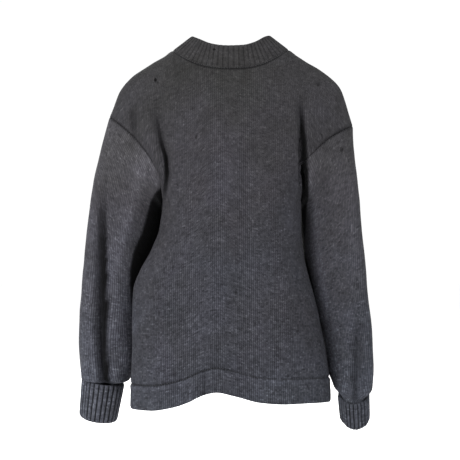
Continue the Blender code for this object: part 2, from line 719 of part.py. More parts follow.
def build():
    for item in list(bpy.data.objects):
        bpy.data.objects.remove(item, do_unlink=True)

    lower = np.concatenate([HEM_ROWS, np.linspace(HEM_ROWS[-1], BODY_DROP, BODY_ROWS + 1)[1:]])
    places = np.linspace(0.0, 11.0, SLEEVE_ROWS)
    back, back_above = body_panel(1, 0, lower, YOKE_ROWS, SHOULDER_COLUMNS, NECK_COLUMNS)
    left, left_above = body_panel(-1, 1, lower, YOKE_ROWS, SHOULDER_COLUMNS, NECK_COLUMNS)
    right, right_above = body_panel(-1, -1, lower, YOKE_ROWS, SHOULDER_COLUMNS, NECK_COLUMNS)
    grids = {
        "back": (back, False, False, back_above),
        "front_left": (left, False, False, left_above),
        "front_right": (right, False, False, right_above),
        "sleeve_left": (sleeve_rings(1, places, YOKE_ROWS), True, True, None),
        "sleeve_right": (sleeve_rings(-1, places, YOKE_ROWS), True, False, None),
    }
    normals = grid_normals(grids)
    folded = {}
    for name, (points, closed, flip, above) in grids.items():
        kind = "sleeve" if closed else "body"
        lift = fold_height(kind, points, normals[name])
        folded[name] = (points + normals[name] * lift[..., None], closed, flip, above)
    normals = grid_normals(folded)

    wool = (0.060, 0.062, 0.070)
    for name, (points, closed, _, above) in folded.items():
        outer_extra = 0.0
        inner_extra = 0.0
        if above is not None:
            outer_extra, inner_extra = hem_walls(above)
        edge = pull_back(points, normals[name], closed)
        outer = edge + normals[name] * (WALL / 2 + outer_extra + np.zeros(points.shape[:2]))[..., None]
        inner = edge - normals[name] * (WALL / 2 + inner_extra + np.zeros(points.shape[:2]))[..., None]
        sheet_solid(name, outer, inner, closed, wool)

    rib = (0.055, 0.055, 0.060)
    line, normal, reach, step, marks = collar_line(folded, normals, len(lower))
    lengths = line_length(line)
    stations = collar_stations(lengths, marks, 2, 3)
    places = np.concatenate([stations[0], stations[1][1:], stations[2][1:]])
    sections = collar_sections(line, normal, reach, step, places)
    first = len(stations[0]) - 1
    last = first + len(stations[1]) - 1
    band_solid("band_left", sections, 0, first, BAND_WIDTH, 1, rib, 2)
    band_solid("neckband", sections, first, last, NECKBAND_HEIGHT, 0, rib, 3)
    band_solid("band_right", sections, last, len(places) - 1, BAND_WIDTH, -1, rib, 2)

    cuff_solid("cuff_left", 1, LEFT_CUFF, rib)
    cuff_solid("cuff_right", -1, RIGHT_CUFF, rib)
    seam = line[: len(lower) + 1]
    for index, height in enumerate(BUTTON_HEIGHTS):
        deep = np.interp(height, seam[:, 2], seam[:, 1])
        rise = BAND_OVERLAP_STEP + WALL / 2 + RIB_RISE + SEAM_GAP
        centre = np.array([0.0, deep - rise, height])
        button_solid("button_%d" % (index + 1), centre, (0.0, -1.0, 0.0), (0.020, 0.017, 0.015))


build()
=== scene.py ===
"""Knitted cardigan seen from the back, filled out with no wearer.

The fine cloth shells follow the same sizes and tables as the solids in the frame.
"""
import math

import bmesh
import bpy
import numpy as np
from mathutils import Matrix, Vector, noise
from mathutils.bvhtree import BVHTree


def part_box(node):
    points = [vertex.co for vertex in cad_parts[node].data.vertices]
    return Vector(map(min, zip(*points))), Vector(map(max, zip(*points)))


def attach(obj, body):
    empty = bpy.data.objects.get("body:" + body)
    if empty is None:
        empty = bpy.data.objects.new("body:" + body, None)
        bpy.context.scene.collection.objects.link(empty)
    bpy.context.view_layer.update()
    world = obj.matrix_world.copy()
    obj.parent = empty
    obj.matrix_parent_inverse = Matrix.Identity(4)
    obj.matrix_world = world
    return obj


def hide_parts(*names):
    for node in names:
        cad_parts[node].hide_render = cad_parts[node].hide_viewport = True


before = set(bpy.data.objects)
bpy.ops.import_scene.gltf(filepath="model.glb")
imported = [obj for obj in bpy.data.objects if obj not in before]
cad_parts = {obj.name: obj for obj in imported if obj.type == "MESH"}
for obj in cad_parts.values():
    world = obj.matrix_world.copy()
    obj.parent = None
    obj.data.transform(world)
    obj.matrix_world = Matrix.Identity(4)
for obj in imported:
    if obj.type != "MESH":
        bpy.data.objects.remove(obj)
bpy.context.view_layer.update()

# Cloth
WALL = 0.0030
SEAM_GAP = 0.00005
HEM_DEPTH = 0.0440
HEM_EXTRA = 0.0016
HEM_GROOVE = 0.0016
HEM_RIDGE = 0.0007
EDGE_ROLL = 0.0014
SEAM_ROLL = 0.0011
SIDE_ROLL = 0.0009
RIB_PITCH = 0.0098
WALE = 0.0036
COURSE = 0.0027
BROAD_SLACK = 0.0016
TIGHT_SLACK = 0.0007
SLACK_SEED = 3.0

# Body
ARMPIT_Z = -0.266
BODY_DROP = 0.364
NECK_U = 0.42
FRONT_EDGE = 0.0215
V_POINT_Z = -0.252

# Fineness of the shells
SHOULDER_COLUMNS = 80
NECK_COLUMNS = 26
YOKE_ROWS = 60
BODY_ROWS = 86
SLEEVE_ROWS = 140
SLEEVE_FLATNESS = 0.70

# Bands, cuffs and buttons
BAND_WIDTH = 0.0375
NECKBAND_HEIGHT = 0.0445
BAND_OVERLAP_STEP = 0.0031
BAND_TURN = 0.0055
BAND_WIDENING_LENGTH = 0.09
BAND_RIB_RISE = 0.0011
BAND_RIB_SHARPNESS = 4.0
BAND_STEPS_PER_RIB = 10
CUFF_RIBS = 26
CUFF_RIB_RISE = 0.0028
CUFF_RIB_SHARPNESS = 2.6
CUFF_STEPS_PER_RIB = 14
CUFF_FOLD_RADIUS = 0.0085
CUFF_SLOT = 0.0005
CUFF_SEAM = 0.0153
BUTTON_RADIUS = 0.0110
BUTTON_SIDES = 48
HOLE_OFFSET = 0.0020
HOLE_RADIUS = 0.00095
BUTTON_HEIGHTS = (-0.292, -0.370, -0.448, -0.526, -0.600)

# height, left half width, right half width, back depth, front depth, roundness
BODY = (
    (-0.640, 0.1790, 0.1772, 0.1120, 0.1070, 0.90),
    (-0.600, 0.1783, 0.1762, 0.1125, 0.1075, 0.90),
    (-0.560, 0.1775, 0.1722, 0.1130, 0.1080, 0.90),
    (-0.480, 0.1760, 0.1570, 0.1140, 0.1100, 0.88),
    (-0.428, 0.1735, 0.1450, 0.1150, 0.1120, 0.86),
    (-0.392, 0.1610, 0.1360, 0.1160, 0.1130, 0.84),
    (-0.356, 0.1420, 0.1285, 0.1170, 0.1140, 0.82),
    (-0.320, 0.1275, 0.1250, 0.1180, 0.1140, 0.82),
    (-0.275, 0.1220, 0.1240, 0.1180, 0.1130, 0.82),
)

# place across (0 centre, 1 armhole), shoulder x, shoulder z, rise power,
# outward power, armhole depth
LEFT_SHOULDER = (
    (0.00, 0.0000, 0.0100, 1.00, 1.0, 0.000),
    (0.42, 0.1050, 0.0000, 1.05, 1.2, 0.005),
    (0.50, 0.1190, -0.0092, 1.10, 1.3, 0.009),
    (0.62, 0.1400, -0.0220, 1.18, 1.4, 0.016),
    (0.78, 0.1760, -0.0460, 1.45, 1.7, 0.033),
    (0.88, 0.1960, -0.0680, 1.70, 1.9, 0.046),
    (1.00, 0.2180, -0.1190, 2.00, 2.2, 0.062),
)
RIGHT_SHOULDER = (
    (0.00, 0.0000, 0.0100, 1.00, 1.0, 0.000),
    (0.42, 0.1040, 0.0020, 1.05, 1.2, 0.005),
    (0.50, 0.1175, -0.0075, 1.10, 1.3, 0.009),
    (0.62, 0.1380, -0.0210, 1.18, 1.5, 0.016),
    (0.78, 0.1740, -0.0460, 1.45, 2.1, 0.033),
    (0.88, 0.1950, -0.0680, 1.70, 2.6, 0.046),
    (1.00, 0.2180, -0.1350, 2.00, 3.2, 0.062),
)

# place across (1 at the left side seam, -1 at the right), height of the lower edge
BACK_HEM = (
    (-1.00, -0.6280),
    (-0.55, -0.6250),
    (-0.31, -0.6240),
    (-0.16, -0.6210),
    (-0.03, -0.6110),
    (0.07, -0.6030),
    (0.15, -0.6080),
    (0.25, -0.6210),
    (0.35, -0.6300),
    (0.55, -0.6380),
    (1.00, -0.6400),
)
FRONT_HEM = (
    (-1.00, -0.6280),
    (-0.38, -0.6270),
    (-0.14, -0.6200),
    (0.00, -0.6175),
    (0.14, -0.6190),
    (0.38, -0.6300),
    (1.00, -0.6400),
)

# place along, outer x, outer z, inner x, inner z, outer y, inner y, half depth, drop at the back
LEFT_SLEEVE = (
    (0.0, 0.2180, -0.1190, 0.1220, -0.2660, 0.000, 0.000, 0.0620, 0.0),
    (1.0, 0.2255, -0.1480, 0.1243, -0.2716, 0.000, -0.008, 0.0635, 0.006),
    (2.0, 0.2345, -0.1840, 0.1250, -0.2820, 0.002, -0.041, 0.0640, 0.006),
    (3.0, 0.2430, -0.2220, 0.1280, -0.3140, 0.005, -0.055, 0.0625, 0.0),
    (4.0, 0.2500, -0.2640, 0.1395, -0.3490, 0.003, -0.059, 0.0600, 0.0),
    (5.0, 0.2578, -0.3120, 0.1515, -0.3820, -0.006, -0.062, 0.0570, 0.0),
    (6.0, 0.2640, -0.3650, 0.1640, -0.4170, -0.022, -0.064, 0.0540, 0.0),
    (7.0, 0.2700, -0.4220, 0.1695, -0.4530, -0.038, -0.064, 0.0520, 0.0),
    (8.0, 0.2750, -0.4780, 0.1710, -0.4920, -0.048, -0.064, 0.0510, 0.0),
    (9.0, 0.2770, -0.5220, 0.1715, -0.5280, -0.052, -0.062, 0.0500, 0.001),
    (10.0, 0.2755, -0.5620, 0.1745, -0.5640, -0.057, -0.060, 0.0480, 0.003),
    (11.0, 0.2738, -0.5890, 0.1850, -0.5900, -0.060, -0.060, 0.0450, 0.004),
)
RIGHT_SLEEVE = (
    (0.0, 0.2180, -0.1350, 0.1240, -0.2660, 0.000, 0.000, 0.0620, 0.0),
    (1.0, 0.2190, -0.1600, 0.1255, -0.2714, 0.001, -0.008, 0.0630, 0.006),
    (2.0, 0.2205, -0.1900, 0.1275, -0.2810, 0.008, -0.040, 0.0630, 0.006),
    (3.0, 0.2235, -0.2250, 0.1280, -0.3140, 0.018, -0.053, 0.0620, 0.0),
    (4.0, 0.2262, -0.2640, 0.1320, -0.3460, 0.030, -0.051, 0.0600, 0.0),
    (5.0, 0.2302, -0.3120, 0.1325, -0.3770, 0.038, -0.055, 0.0570, 0.0),
    (6.0, 0.2352, -0.3650, 0.1375, -0.4120, 0.044, -0.056, 0.0540, 0.0),
    (7.0, 0.2398, -0.4220, 0.1465, -0.4520, 0.046, -0.060, 0.0520, 0.0),
    (8.0, 0.2465, -0.4780, 0.1575, -0.4940, 0.046, -0.061, 0.0510, 0.001),
    (9.0, 0.2500, -0.5250, 0.1685, -0.5340, 0.042, -0.056, 0.0500, 0.005),
    (10.0, 0.2518, -0.5660, 0.1750, -0.5680, 0.036, -0.042, 0.0490, 0.010),
    (11.0, 0.2500, -0.5940, 0.1855, -0.5930, 0.030, -0.006, 0.0475, 0.015),
)

# Turned-back cuffs: free edge centre, fold centre, half width and half depth at each
LEFT_CUFF = {
    "top": (0.2338, -0.0615, -0.5975),
    "fold": (0.2440, -0.0690, -0.6675),
    "top_size": (0.0335, 0.0390),
    "fold_size": (0.0288, 0.0360),
}
RIGHT_CUFF = {
    "top": (-0.2190, 0.0240, -0.6110),
    "fold": (-0.2232, 0.0045, -0.6590),
    "top_size": (0.0222, 0.0430),
    "fold_size": (0.0205, 0.0410),
}

# Folds: pieces, face (1 back, -1 front), half width, lap side, then x, z, height and lap
FOLDS = (
    ("both", 1, 0.009, -1, ((0.131, -0.096, 0.0, 0.0), (0.1265, -0.140, -0.005, 0.0),
                            (0.1165, -0.192, -0.013, 0.002), (0.1130, -0.226, -0.010, 0.002),
                            (0.1140, -0.255, 0.0, 0.0))),
    ("both", 1, 0.007, 0, ((0.180, -0.096, 0.0, 0.0), (0.176, -0.130, -0.0035, 0.0),
                           (0.168, -0.165, 0.0, 0.0))),
    ("both", 1, 0.007, 1, ((-0.1175, -0.090, 0.0, 0.0), (-0.1245, -0.124, -0.010, 0.002),
                           (-0.1265, -0.178, -0.016, 0.004), (-0.1290, -0.235, -0.014, 0.004),
                           (-0.1300, -0.262, 0.0, 0.0))),
    ("both", 1, 0.014, 0, ((-0.156, -0.120, 0.0, 0.0), (-0.152, -0.200, 0.004, 0.0),
                           (-0.153, -0.300, 0.005, 0.0), (-0.162, -0.400, 0.005, 0.0),
                           (-0.180, -0.500, 0.004, 0.0), (-0.192, -0.590, 0.0, 0.0))),
    ("body", 1, 0.016, 0, ((0.064, -0.520, 0.0, 0.0), (0.062, -0.580, 0.004, 0.0),
                           (0.060, -0.640, 0.006, 0.0))),
    ("body", 1, 0.006, 0, ((0.050, -0.550, 0.0, 0.0), (0.047, -0.590, -0.005, 0.0),
                           (0.047, -0.640, -0.008, 0.0))),
    ("body", 1, 0.030, 0, ((0.010, -0.300, 0.0, 0.0), (-0.015, -0.420, -0.004, 0.0),
                           (-0.030, -0.540, -0.005, 0.0), (-0.020, -0.640, -0.003, 0.0))),
    ("body", 1, 0.026, 0, ((-0.100, -0.380, 0.0, 0.0), (-0.096, -0.500, 0.004, 0.0),
                           (-0.090, -0.640, 0.006, 0.0))),
    ("body", 1, 0.024, 0, ((0.110, -0.330, 0.0, 0.0), (0.118, -0.470, 0.003, 0.0),
                           (0.116, -0.640, 0.004, 0.0))),
    ("body", -1, 0.022, 0, ((0.125, -0.300, 0.0, 0.0), (0.105, -0.420, -0.005, 0.0),
                            (0.095, -0.640, -0.006, 0.0))),
    ("body", -1, 0.022, 0, ((-0.125, -0.300, 0.0, 0.0), (-0.098, -0.440, -0.005, 0.0),
                            (-0.100, -0.640, -0.004, 0.0))),
    ("body", -1, 0.020, 0, ((0.066, -0.380, 0.0, 0.0), (0.060, -0.520, 0.004, 0.0),
                            (0.058, -0.640, 0.005, 0.0))),
    ("both", -1, 0.009, 0, ((0.134, -0.090, 0.0, 0.0), (0.128, -0.150, -0.005, 0.0),
                            (0.122, -0.220, -0.009, 0.0), (0.121, -0.290, 0.0, 0.0))),
    ("both", -1, 0.009, 0, ((-0.130, -0.090, 0.0, 0.0), (-0.130, -0.160, -0.006, 0.0),
                            (-0.128, -0.230, -0.010, 0.0), (-0.128, -0.290, 0.0, 0.0))),
    ("sleeve", 1, 0.0095, 1, ((0.239, -0.280, 0.0, 0.0), (0.2370, -0.350, -0.004, 0.0),
                              (0.2360, -0.420, -0.012, 0.001), (0.2350, -0.500, -0.018, 0.003),
                              (0.2335, -0.570, -0.017, 0.003), (0.2320, -0.597, -0.006, 0.0))),
    ("sleeve", 1, 0.016, 0, ((0.165, -0.190, 0.0, 0.0), (0.177, -0.260, 0.004, 0.0),
                             (0.192, -0.330, 0.006, 0.0), (0.205, -0.400, 0.005, 0.0),
                             (0.208, -0.500, 0.004, 0.0), (0.206, -0.590, 0.0, 0.0))),
    ("sleeve", 1, 0.008, 0, ((-0.2185, -0.440, 0.0, 0.0), (-0.2190, -0.520, -0.005, 0.0),
                             (-0.2190, -0.590, -0.009, 0.0), (-0.2180, -0.618, -0.002, 0.0))),
    ("sleeve", 1, 0.0045, 0, ((-0.2360, -0.545, 0.0, 0.0), (-0.2335, -0.585, -0.004, 0.0),
                              (-0.2290, -0.612, -0.004, 0.0))),
    ("sleeve", 1, 0.0045, 0, ((-0.2010, -0.550, 0.0, 0.0), (-0.2050, -0.588, -0.004, 0.0),
                              (-0.2080, -0.612, -0.004, 0.0))),
    ("sleeve", 1, 0.0045, 0, ((0.2550, -0.545, 0.0, 0.0), (0.2530, -0.585, -0.004, 0.0),
                              (0.2490, -0.600, -0.003, 0.0))),
    ("sleeve", 1, 0.0045, 0, ((0.2130, -0.555, 0.0, 0.0), (0.2140, -0.588, -0.004, 0.0),
                              (0.2160, -0.600, -0.003, 0.0))),
    ("sleeve", -1, 0.010, 0, ((0.222, -0.330, 0.0, 0.0), (0.226, -0.420, -0.006, 0.0),
                              (0.228, -0.520, -0.007, 0.0), (0.230, -0.590, 0.0, 0.0))),
    ("sleeve", -1, 0.010, 0, ((-0.196, -0.300, 0.0, 0.0), (-0.204, -0.400, -0.007, 0.0),
                              (-0.212, -0.500, -0.006, 0.0), (-0.216, -0.610, 0.0, 0.0))),
)

# Shadows the photo shows: pieces, face, half widths towards +x and -x, then x, z and level
# These shadows are painted into the wool's colour as painted shade; a level below zero paints a highlight on
# a soft ridge.
SHADOWS = (
    ("both", 1, 0.0048, 0.0048, ((-0.1205, -0.085, 0.0), (-0.1235, -0.105, 0.35), (-0.1260, -0.140, 0.9),
                                 (-0.1290, -0.165, 1.0), (-0.1308, -0.200, 1.0), (-0.1318, -0.300, 1.0))),
    ("sleeve", 1, 0.0060, 0.0130, ((-0.1430, -0.220, 0.0), (-0.1450, -0.290, -0.80), (-0.1460, -0.356, -1.0),
                                   (-0.1570, -0.425, -1.0), (-0.1690, -0.480, -1.0),
                                   (-0.1790, -0.540, -0.85), (-0.1860, -0.590, 0.0))),
    ("sleeve", 1, 0.0110, 0.0110, ((0.1820, -0.350, 0.0), (0.1890, -0.400, -0.55), (0.1880, -0.480, -0.65),
                                   (0.1870, -0.560, -0.65), (0.1880, -0.600, 0.0))),
    ("body", 1, 0.0120, 0.0120, ((-0.1120, -0.170, 0.0), (-0.1140, -0.250, -0.50), (-0.1170, -0.340, -0.45),
                                 (-0.1290, -0.420, -0.40), (-0.1420, -0.480, -0.30),
                                 (-0.1550, -0.550, 0.0))),
    ("sleeve", 1, 0.0170, 0.0170, ((-0.2300, -0.400, 0.0), (-0.2350, -0.490, 0.17), (-0.2390, -0.570, 0.20),
                                   (-0.2350, -0.612, 0.10))),
    ("both", 1, 0.0110, 0.0060, ((-0.1200, -0.070, 0.0), (-0.1230, -0.105, 0.16), (-0.1260, -0.150, 0.0))),
    ("both", 1, 0.0042, 0.0042, ((0.1330, -0.096, 0.0), (0.1290, -0.130, 0.40), (0.1225, -0.168, 0.75),
                                 (0.1150, -0.192, 1.0), (0.1130, -0.222, 1.0), (0.1145, -0.246, 0.75),
                                 (0.1170, -0.262, 0.2))),
    ("both", 1, 0.0100, 0.0090, ((0.1340, -0.080, 0.0), (0.1290, -0.130, 0.22), (0.1225, -0.168, 0.22),
                                 (0.1180, -0.190, 0.0))),
    ("both", 1, 0.0075, 0.0075, ((0.1755, -0.085, 0.0), (0.1740, -0.115, 0.30), (0.1710, -0.135, 0.36),
                                 (0.1680, -0.165, 0.0))),
    ("both", 1, 0.0100, 0.0100, ((0.1500, -0.130, 0.0), (0.1560, -0.185, -0.30), (0.1650, -0.235, -0.42),
                                 (0.1790, -0.285, -0.42), (0.1950, -0.340, -0.30), (0.2060, -0.400, -0.20),
                                 (0.2040, -0.500, -0.25), (0.1980, -0.590, -0.10))),
    ("both", 1, 0.0060, 0.0060, ((0.1500, -0.140, 0.0), (0.1400, -0.200, -0.35), (0.1290, -0.240, -0.20),
                                 (0.1240, -0.262, 0.0))),
    ("body", 1, 0.0040, 0.0070, ((0.1060, -0.205, 0.0), (0.1080, -0.235, -0.40), (0.1120, -0.270, -0.40),
                                 (0.1130, -0.310, 0.0))),
    ("sleeve", 1, 0.0200, 0.0030, ((0.2225, -0.215, 0.0), (0.2230, -0.285, 0.35), (0.2235, -0.400, 0.45),
                                   (0.2230, -0.480, 0.50), (0.2225, -0.560, 0.5), (0.2210, -0.604, 0.5))),
    ("sleeve", 1, 0.0160, 0.0016, ((0.2225, -0.240, 0.0), (0.2228, -0.290, 0.55), (0.2230, -0.340, 0.9),
                                   (0.2232, -0.400, 1.0),
                                   (0.2228, -0.480, 1.0), (0.2222, -0.560, 1.0), (0.2210, -0.604, 1.0))),
    ("sleeve", 1, 0.0065, 0.0050, ((-0.2215, -0.430, 0.0), (-0.2215, -0.520, 0.30), (-0.2210, -0.600, 0.50),
                                   (-0.2200, -0.622, 0.3))),
    ("body", 1, 0.0030, 0.0030, ((0.0475, -0.560, 0.0), (0.0465, -0.590, 0.35), (0.0455, -0.620, 0.45))),
)

# height, and how far out the sleeve lies in the body's shadow
LEFT_GAP = (
    (-0.5600, 0.1640), (-0.5200, 0.1775), (-0.4644, 0.1805), (-0.4212, 0.1832), (-0.3924, 0.1826),
    (-0.3636, 0.1766), (-0.3402, 0.1676), (-0.3276, 0.1612), (-0.3000, 0.1530), (-0.2700, 0.1440),
    (-0.2520, 0.1330), (-0.2420, 0.1200),
)
RIGHT_GAP = (
    (-0.5800, 0.1710), (-0.5652, 0.1755), (-0.5238, 0.1685), (-0.4878, 0.1618), (-0.4644, 0.1572),
    (-0.4248, 0.1492), (-0.3834, 0.1393), (-0.3564, 0.1348), (-0.3300, 0.1352), (-0.2664, 0.1370),
    (-0.2100, 0.1365),
    (-0.2000, 0.1200),
)

# Wool: place along a level, and the colour or shade there
YARN_COLOURS = ((0.32, (0.016, 0.016, 0.018)), (0.46, (0.031, 0.031, 0.035)),
                (0.56, (0.043, 0.043, 0.048)), (0.72, (0.085, 0.086, 0.094)))
# Colour by height: darker and warmer at the top, paler and cooler towards the hem
HEIGHT_COLOURS = ((0.0, (0.62, 0.61, 0.55)), (0.45, (0.76, 0.73, 0.745)),
                (0.80, (0.79, 0.81, 0.88)), (1.0, (0.90, 0.96, 1.05)))
PATCH_SHADES = ((0.32, (0.86, 0.86, 0.84)), (0.50, (1.0, 1.0, 1.0)), (0.68, (1.12, 1.12, 1.15)))
MOTTLE_SHADES = ((0.36, (0.84, 0.84, 0.83)), (0.50, (1.0, 1.0, 1.0)), (0.66, (1.14, 1.14, 1.15)))
# Painted shade between the stitches and painted highlight on their crests
STITCH_SHADES = ((0.05, (0.22, 0.22, 0.23)), (0.45, (0.90, 0.90, 0.90)), (0.85, (1.25, 1.25, 1.25)))
# Painted shade from the depth attribute: pale for a painted highlight, dark to black for painted shade in
# creases, gaps and seams
CREASE_SHADES = ((0.0, (1.95, 1.95, 1.98)), (0.5, (1.0, 1.0, 1.0)),
                 (0.75, (0.36, 0.36, 0.37)), (1.0, (0.02, 0.02, 0.021)))
# How strongly the painted stitch shade and highlight are laid on plain knit and on ribs; then the bump relief
# of each
PANEL_STITCH_SHADE = 0.95
RIB_STITCH_SHADE = 0.35
PANEL_RELIEF = 0.0010
RIB_RELIEF = 0.0006

# Wear, and holes painted dark as painted shade: x, z, half width, half height and how dark or pale
WEAR_AND_HOLE_SHADE = (
    (0.1339, -0.0545, 0.0026, 0.0034, 0.06),
    (0.1300, -0.0590, 0.0016, 0.0022, 0.45),
    (0.0299, -0.0010, 0.0028, 0.0020, 0.22),
    (-0.1550, -0.0620, 0.0034, 0.0040, 0.50),
    (-0.1960, -0.1778, 0.0030, 0.0050, 0.45),
    (0.0609, -0.1589, 0.0016, 0.0040, 0.45),
    (-0.1595, -0.4746, 0.0060, 0.0060, 1.40),
)


def along(table, place):
    """Read a table smoothly: first column is the place, the others come back."""
    rows = np.asarray(table, float)
    keys = rows[:, 0]
    values = rows[:, 1:]
    place = np.clip(np.asarray(place, float), keys[0], keys[-1])
    step = np.diff(keys)[:, None]
    rise = np.diff(values, axis=0) / step
    slope = np.zeros_like(values)
    slope[0] = rise[0]
    slope[-1] = rise[-1]
    if len(keys) > 2:
        before = rise[:-1]
        after = rise[1:]
        same = before * after > 0
        safe_before = np.where(same, before, 1.0)
        safe_after = np.where(same, after, 1.0)
        first = 2 * step[1:] + step[:-1]
        second = step[1:] + 2 * step[:-1]
        mean = (first + second) / (first / safe_before + second / safe_after)
        slope[1:-1] = np.where(same, mean, 0.0)
    index = np.clip(np.searchsorted(keys, place, side="right") - 1, 0, len(keys) - 2)
    width = step[index, 0]
    part = ((place - keys[index]) / width)[..., None]
    width = width[..., None]
    low = (1 + 2 * part) * (1 - part) ** 2 * values[index]
    low = low + part * (1 - part) ** 2 * width * slope[index]
    high = part * part * (3 - 2 * part) * values[index + 1]
    high = high + part * part * (part - 1) * width * slope[index + 1]
    return low + high


def smooth(value):
    """Ease from 0 to 1."""
    value = np.clip(value, 0.0, 1.0)
    return value * value * (3 - 2 * value)


def unit(vectors):
    return vectors / np.linalg.norm(vectors, axis=-1)[..., None]


def body_point(face, across, height):
    """Point of the body below the armpits; across is 1 at the left side seam, -1 at the right."""
    sizes = along(BODY, height)
    half = np.where(across >= 0, sizes[..., 0], sizes[..., 1])
    deep = sizes[..., 2] if face > 0 else sizes[..., 3]
    angle = np.abs(across) * math.pi / 2
    x = np.sign(across) * half * np.sin(angle) ** sizes[..., 4]
    y = face * deep * np.clip(np.cos(angle), 0.0, 1.0) ** sizes[..., 4]
    return np.stack([x, y, height + 0.0 * x], axis=-1)


def yoke_point(face, across, angle):
    """Point above the armpits; angle runs from 0 at the armpit level to a right angle."""
    across = across + 0.0 * angle
    base = body_point(face, across, np.full_like(across, ARMPIT_Z))
    left = along(LEFT_SHOULDER, np.abs(across))
    right = along(RIGHT_SHOULDER, np.abs(across))
    sizes = np.where((across >= 0)[..., None], left, right)
    part = np.sin(angle) ** sizes[..., 2]
    z = ARMPIT_Z + (sizes[..., 1] - ARMPIT_Z) * part
    reach = np.sign(across) * sizes[..., 0]
    x = base[..., 0] + (reach - base[..., 0]) * part ** sizes[..., 3]
    y = base[..., 1] * np.clip(np.cos(angle), 0.0, 1.0)
    y = y + face * sizes[..., 4] * np.sin(2 * angle)
    return np.stack([x, y, z], axis=-1)


def neck_line(face, x):
    """Height of the neck seam at x."""
    left = LEFT_SHOULDER[1]
    right = RIGHT_SHOULDER[1]
    reach = np.where(x >= 0, left[1], right[1])
    top = np.where(x >= 0, left[2], right[2])
    if face > 0:
        part = np.clip(np.abs(x) / reach, 0.0, 1.0)
        low = -0.0355
        return low + (top - low) * part ** 2.4
    part = np.clip((np.abs(x) - FRONT_EDGE) / (reach - FRONT_EDGE), 0.0, 1.0)
    return V_POINT_Z + (top - V_POINT_Z) * part ** 0.95


def top_angle(face, across):
    """Angle where each column ends: the neck seam, or the shoulder seam outside it."""
    low = np.zeros_like(across)
    high = np.full_like(across, math.pi / 2)
    for _ in range(40):
        middle = (low + high) / 2
        point = yoke_point(face, across, middle)
        over = point[..., 2] > neck_line(face, point[..., 0])
        high = np.where(over, middle, high)
        low = np.where(over, low, middle)
    outside = np.abs(across) >= NECK_U - 1e-9
    return np.where(outside, math.pi / 2, high)


def front_across(height, neck_places):
    """Columns between the front edge and the neck point, kept straight at the front edge."""
    sizes = along(BODY, height)
    out = []
    for sign in (1, -1):
        half = sizes[..., 0] if sign > 0 else sizes[..., 1]
        edge = (FRONT_EDGE / half) ** (1 / sizes[..., 4])
        start = np.arcsin(edge) * 2 / math.pi
        out.append(sign * (start[..., None] + (NECK_U - start[..., None]) * neck_places))
    return out


def hem_height(face, across):
    """Height of the lower edge."""
    table = BACK_HEM if face > 0 else FRONT_HEM
    return along(table, across)[..., 0]


def row_heights(lower, face, across):
    """Heights of the rows between the hem and the armpit level, for each column."""
    hem = hem_height(face, across)
    lift = ARMPIT_Z - hem - BODY_DROP
    return hem + lower + lift * smooth(lower / BODY_DROP)


def yoke_parts(yoke):
    """Places of the yoke's rows, with one close to the seam."""
    parts = np.linspace(0.0, 1.0, yoke + 1)
    parts[-2] = 0.993
    return parts


def body_panel(face, half, lower, yoke, shoulder, neck):
    """Middle surface of a panel, rows upwards, and each row's height above the hem."""
    if face > 0:
        outer = np.linspace(1.0, NECK_U, shoulder + 1)
        outer[1] = 0.9935
        inner = np.linspace(NECK_U, 0.0, neck + 1)[1:]
        side = np.concatenate([outer, inner])
        columns = np.concatenate([side, -side[::-1][1:]])
        columns = np.repeat(columns[None, :], len(lower), axis=0)
    else:
        places = np.linspace(0.0, 1.0, neck + 1)
        outer = np.linspace(NECK_U, 1.0, shoulder + 1)[1:]
        outer[-2] = 0.9935
        outer = np.repeat(outer[None, :], len(lower), axis=0)
        pick = 0 if half > 0 else 1
        start = front_across(ARMPIT_Z + 0.0 * lower, places)[pick]
        columns = np.concatenate([start, half * outer], axis=1)
        if half < 0:
            columns = columns[:, ::-1]
    rows = row_heights(np.asarray(lower)[:, None], face, columns)
    if face < 0:
        fitted = []
        for index in range(len(lower)):
            line = rows[index]
            edge = line[0] if half > 0 else line[-1]
            start = front_across(np.array([edge]), places)[pick][0]
            row = np.concatenate([start, half * outer[index]])
            fitted.append(row if half > 0 else row[::-1])
        columns = np.stack(fitted)
        rows = row_heights(np.asarray(lower)[:, None], face, columns)
    low = body_point(face, columns, rows)
    top = columns[-1]
    limit = top_angle(face, top)
    parts = yoke_parts(yoke)[1:]
    high = yoke_point(face, np.repeat(top[None, :], yoke, axis=0), parts[:, None] * limit[None, :])
    above = np.asarray(lower)[:, None] + 0.0 * low[..., 0]
    far = np.full(high.shape[:2], 1.0)
    return np.concatenate([low, high]), np.concatenate([above, far])


def armhole_ring(side, yoke):
    """The armhole: shoulder tip, down the back, armpit, up the front."""
    angles = yoke_parts(yoke)[::-1] * math.pi / 2
    edge = np.full_like(angles, float(side))
    back = yoke_point(1, edge, angles)
    front = yoke_point(-1, edge, angles)
    return np.concatenate([back, front[::-1][1:-1]])


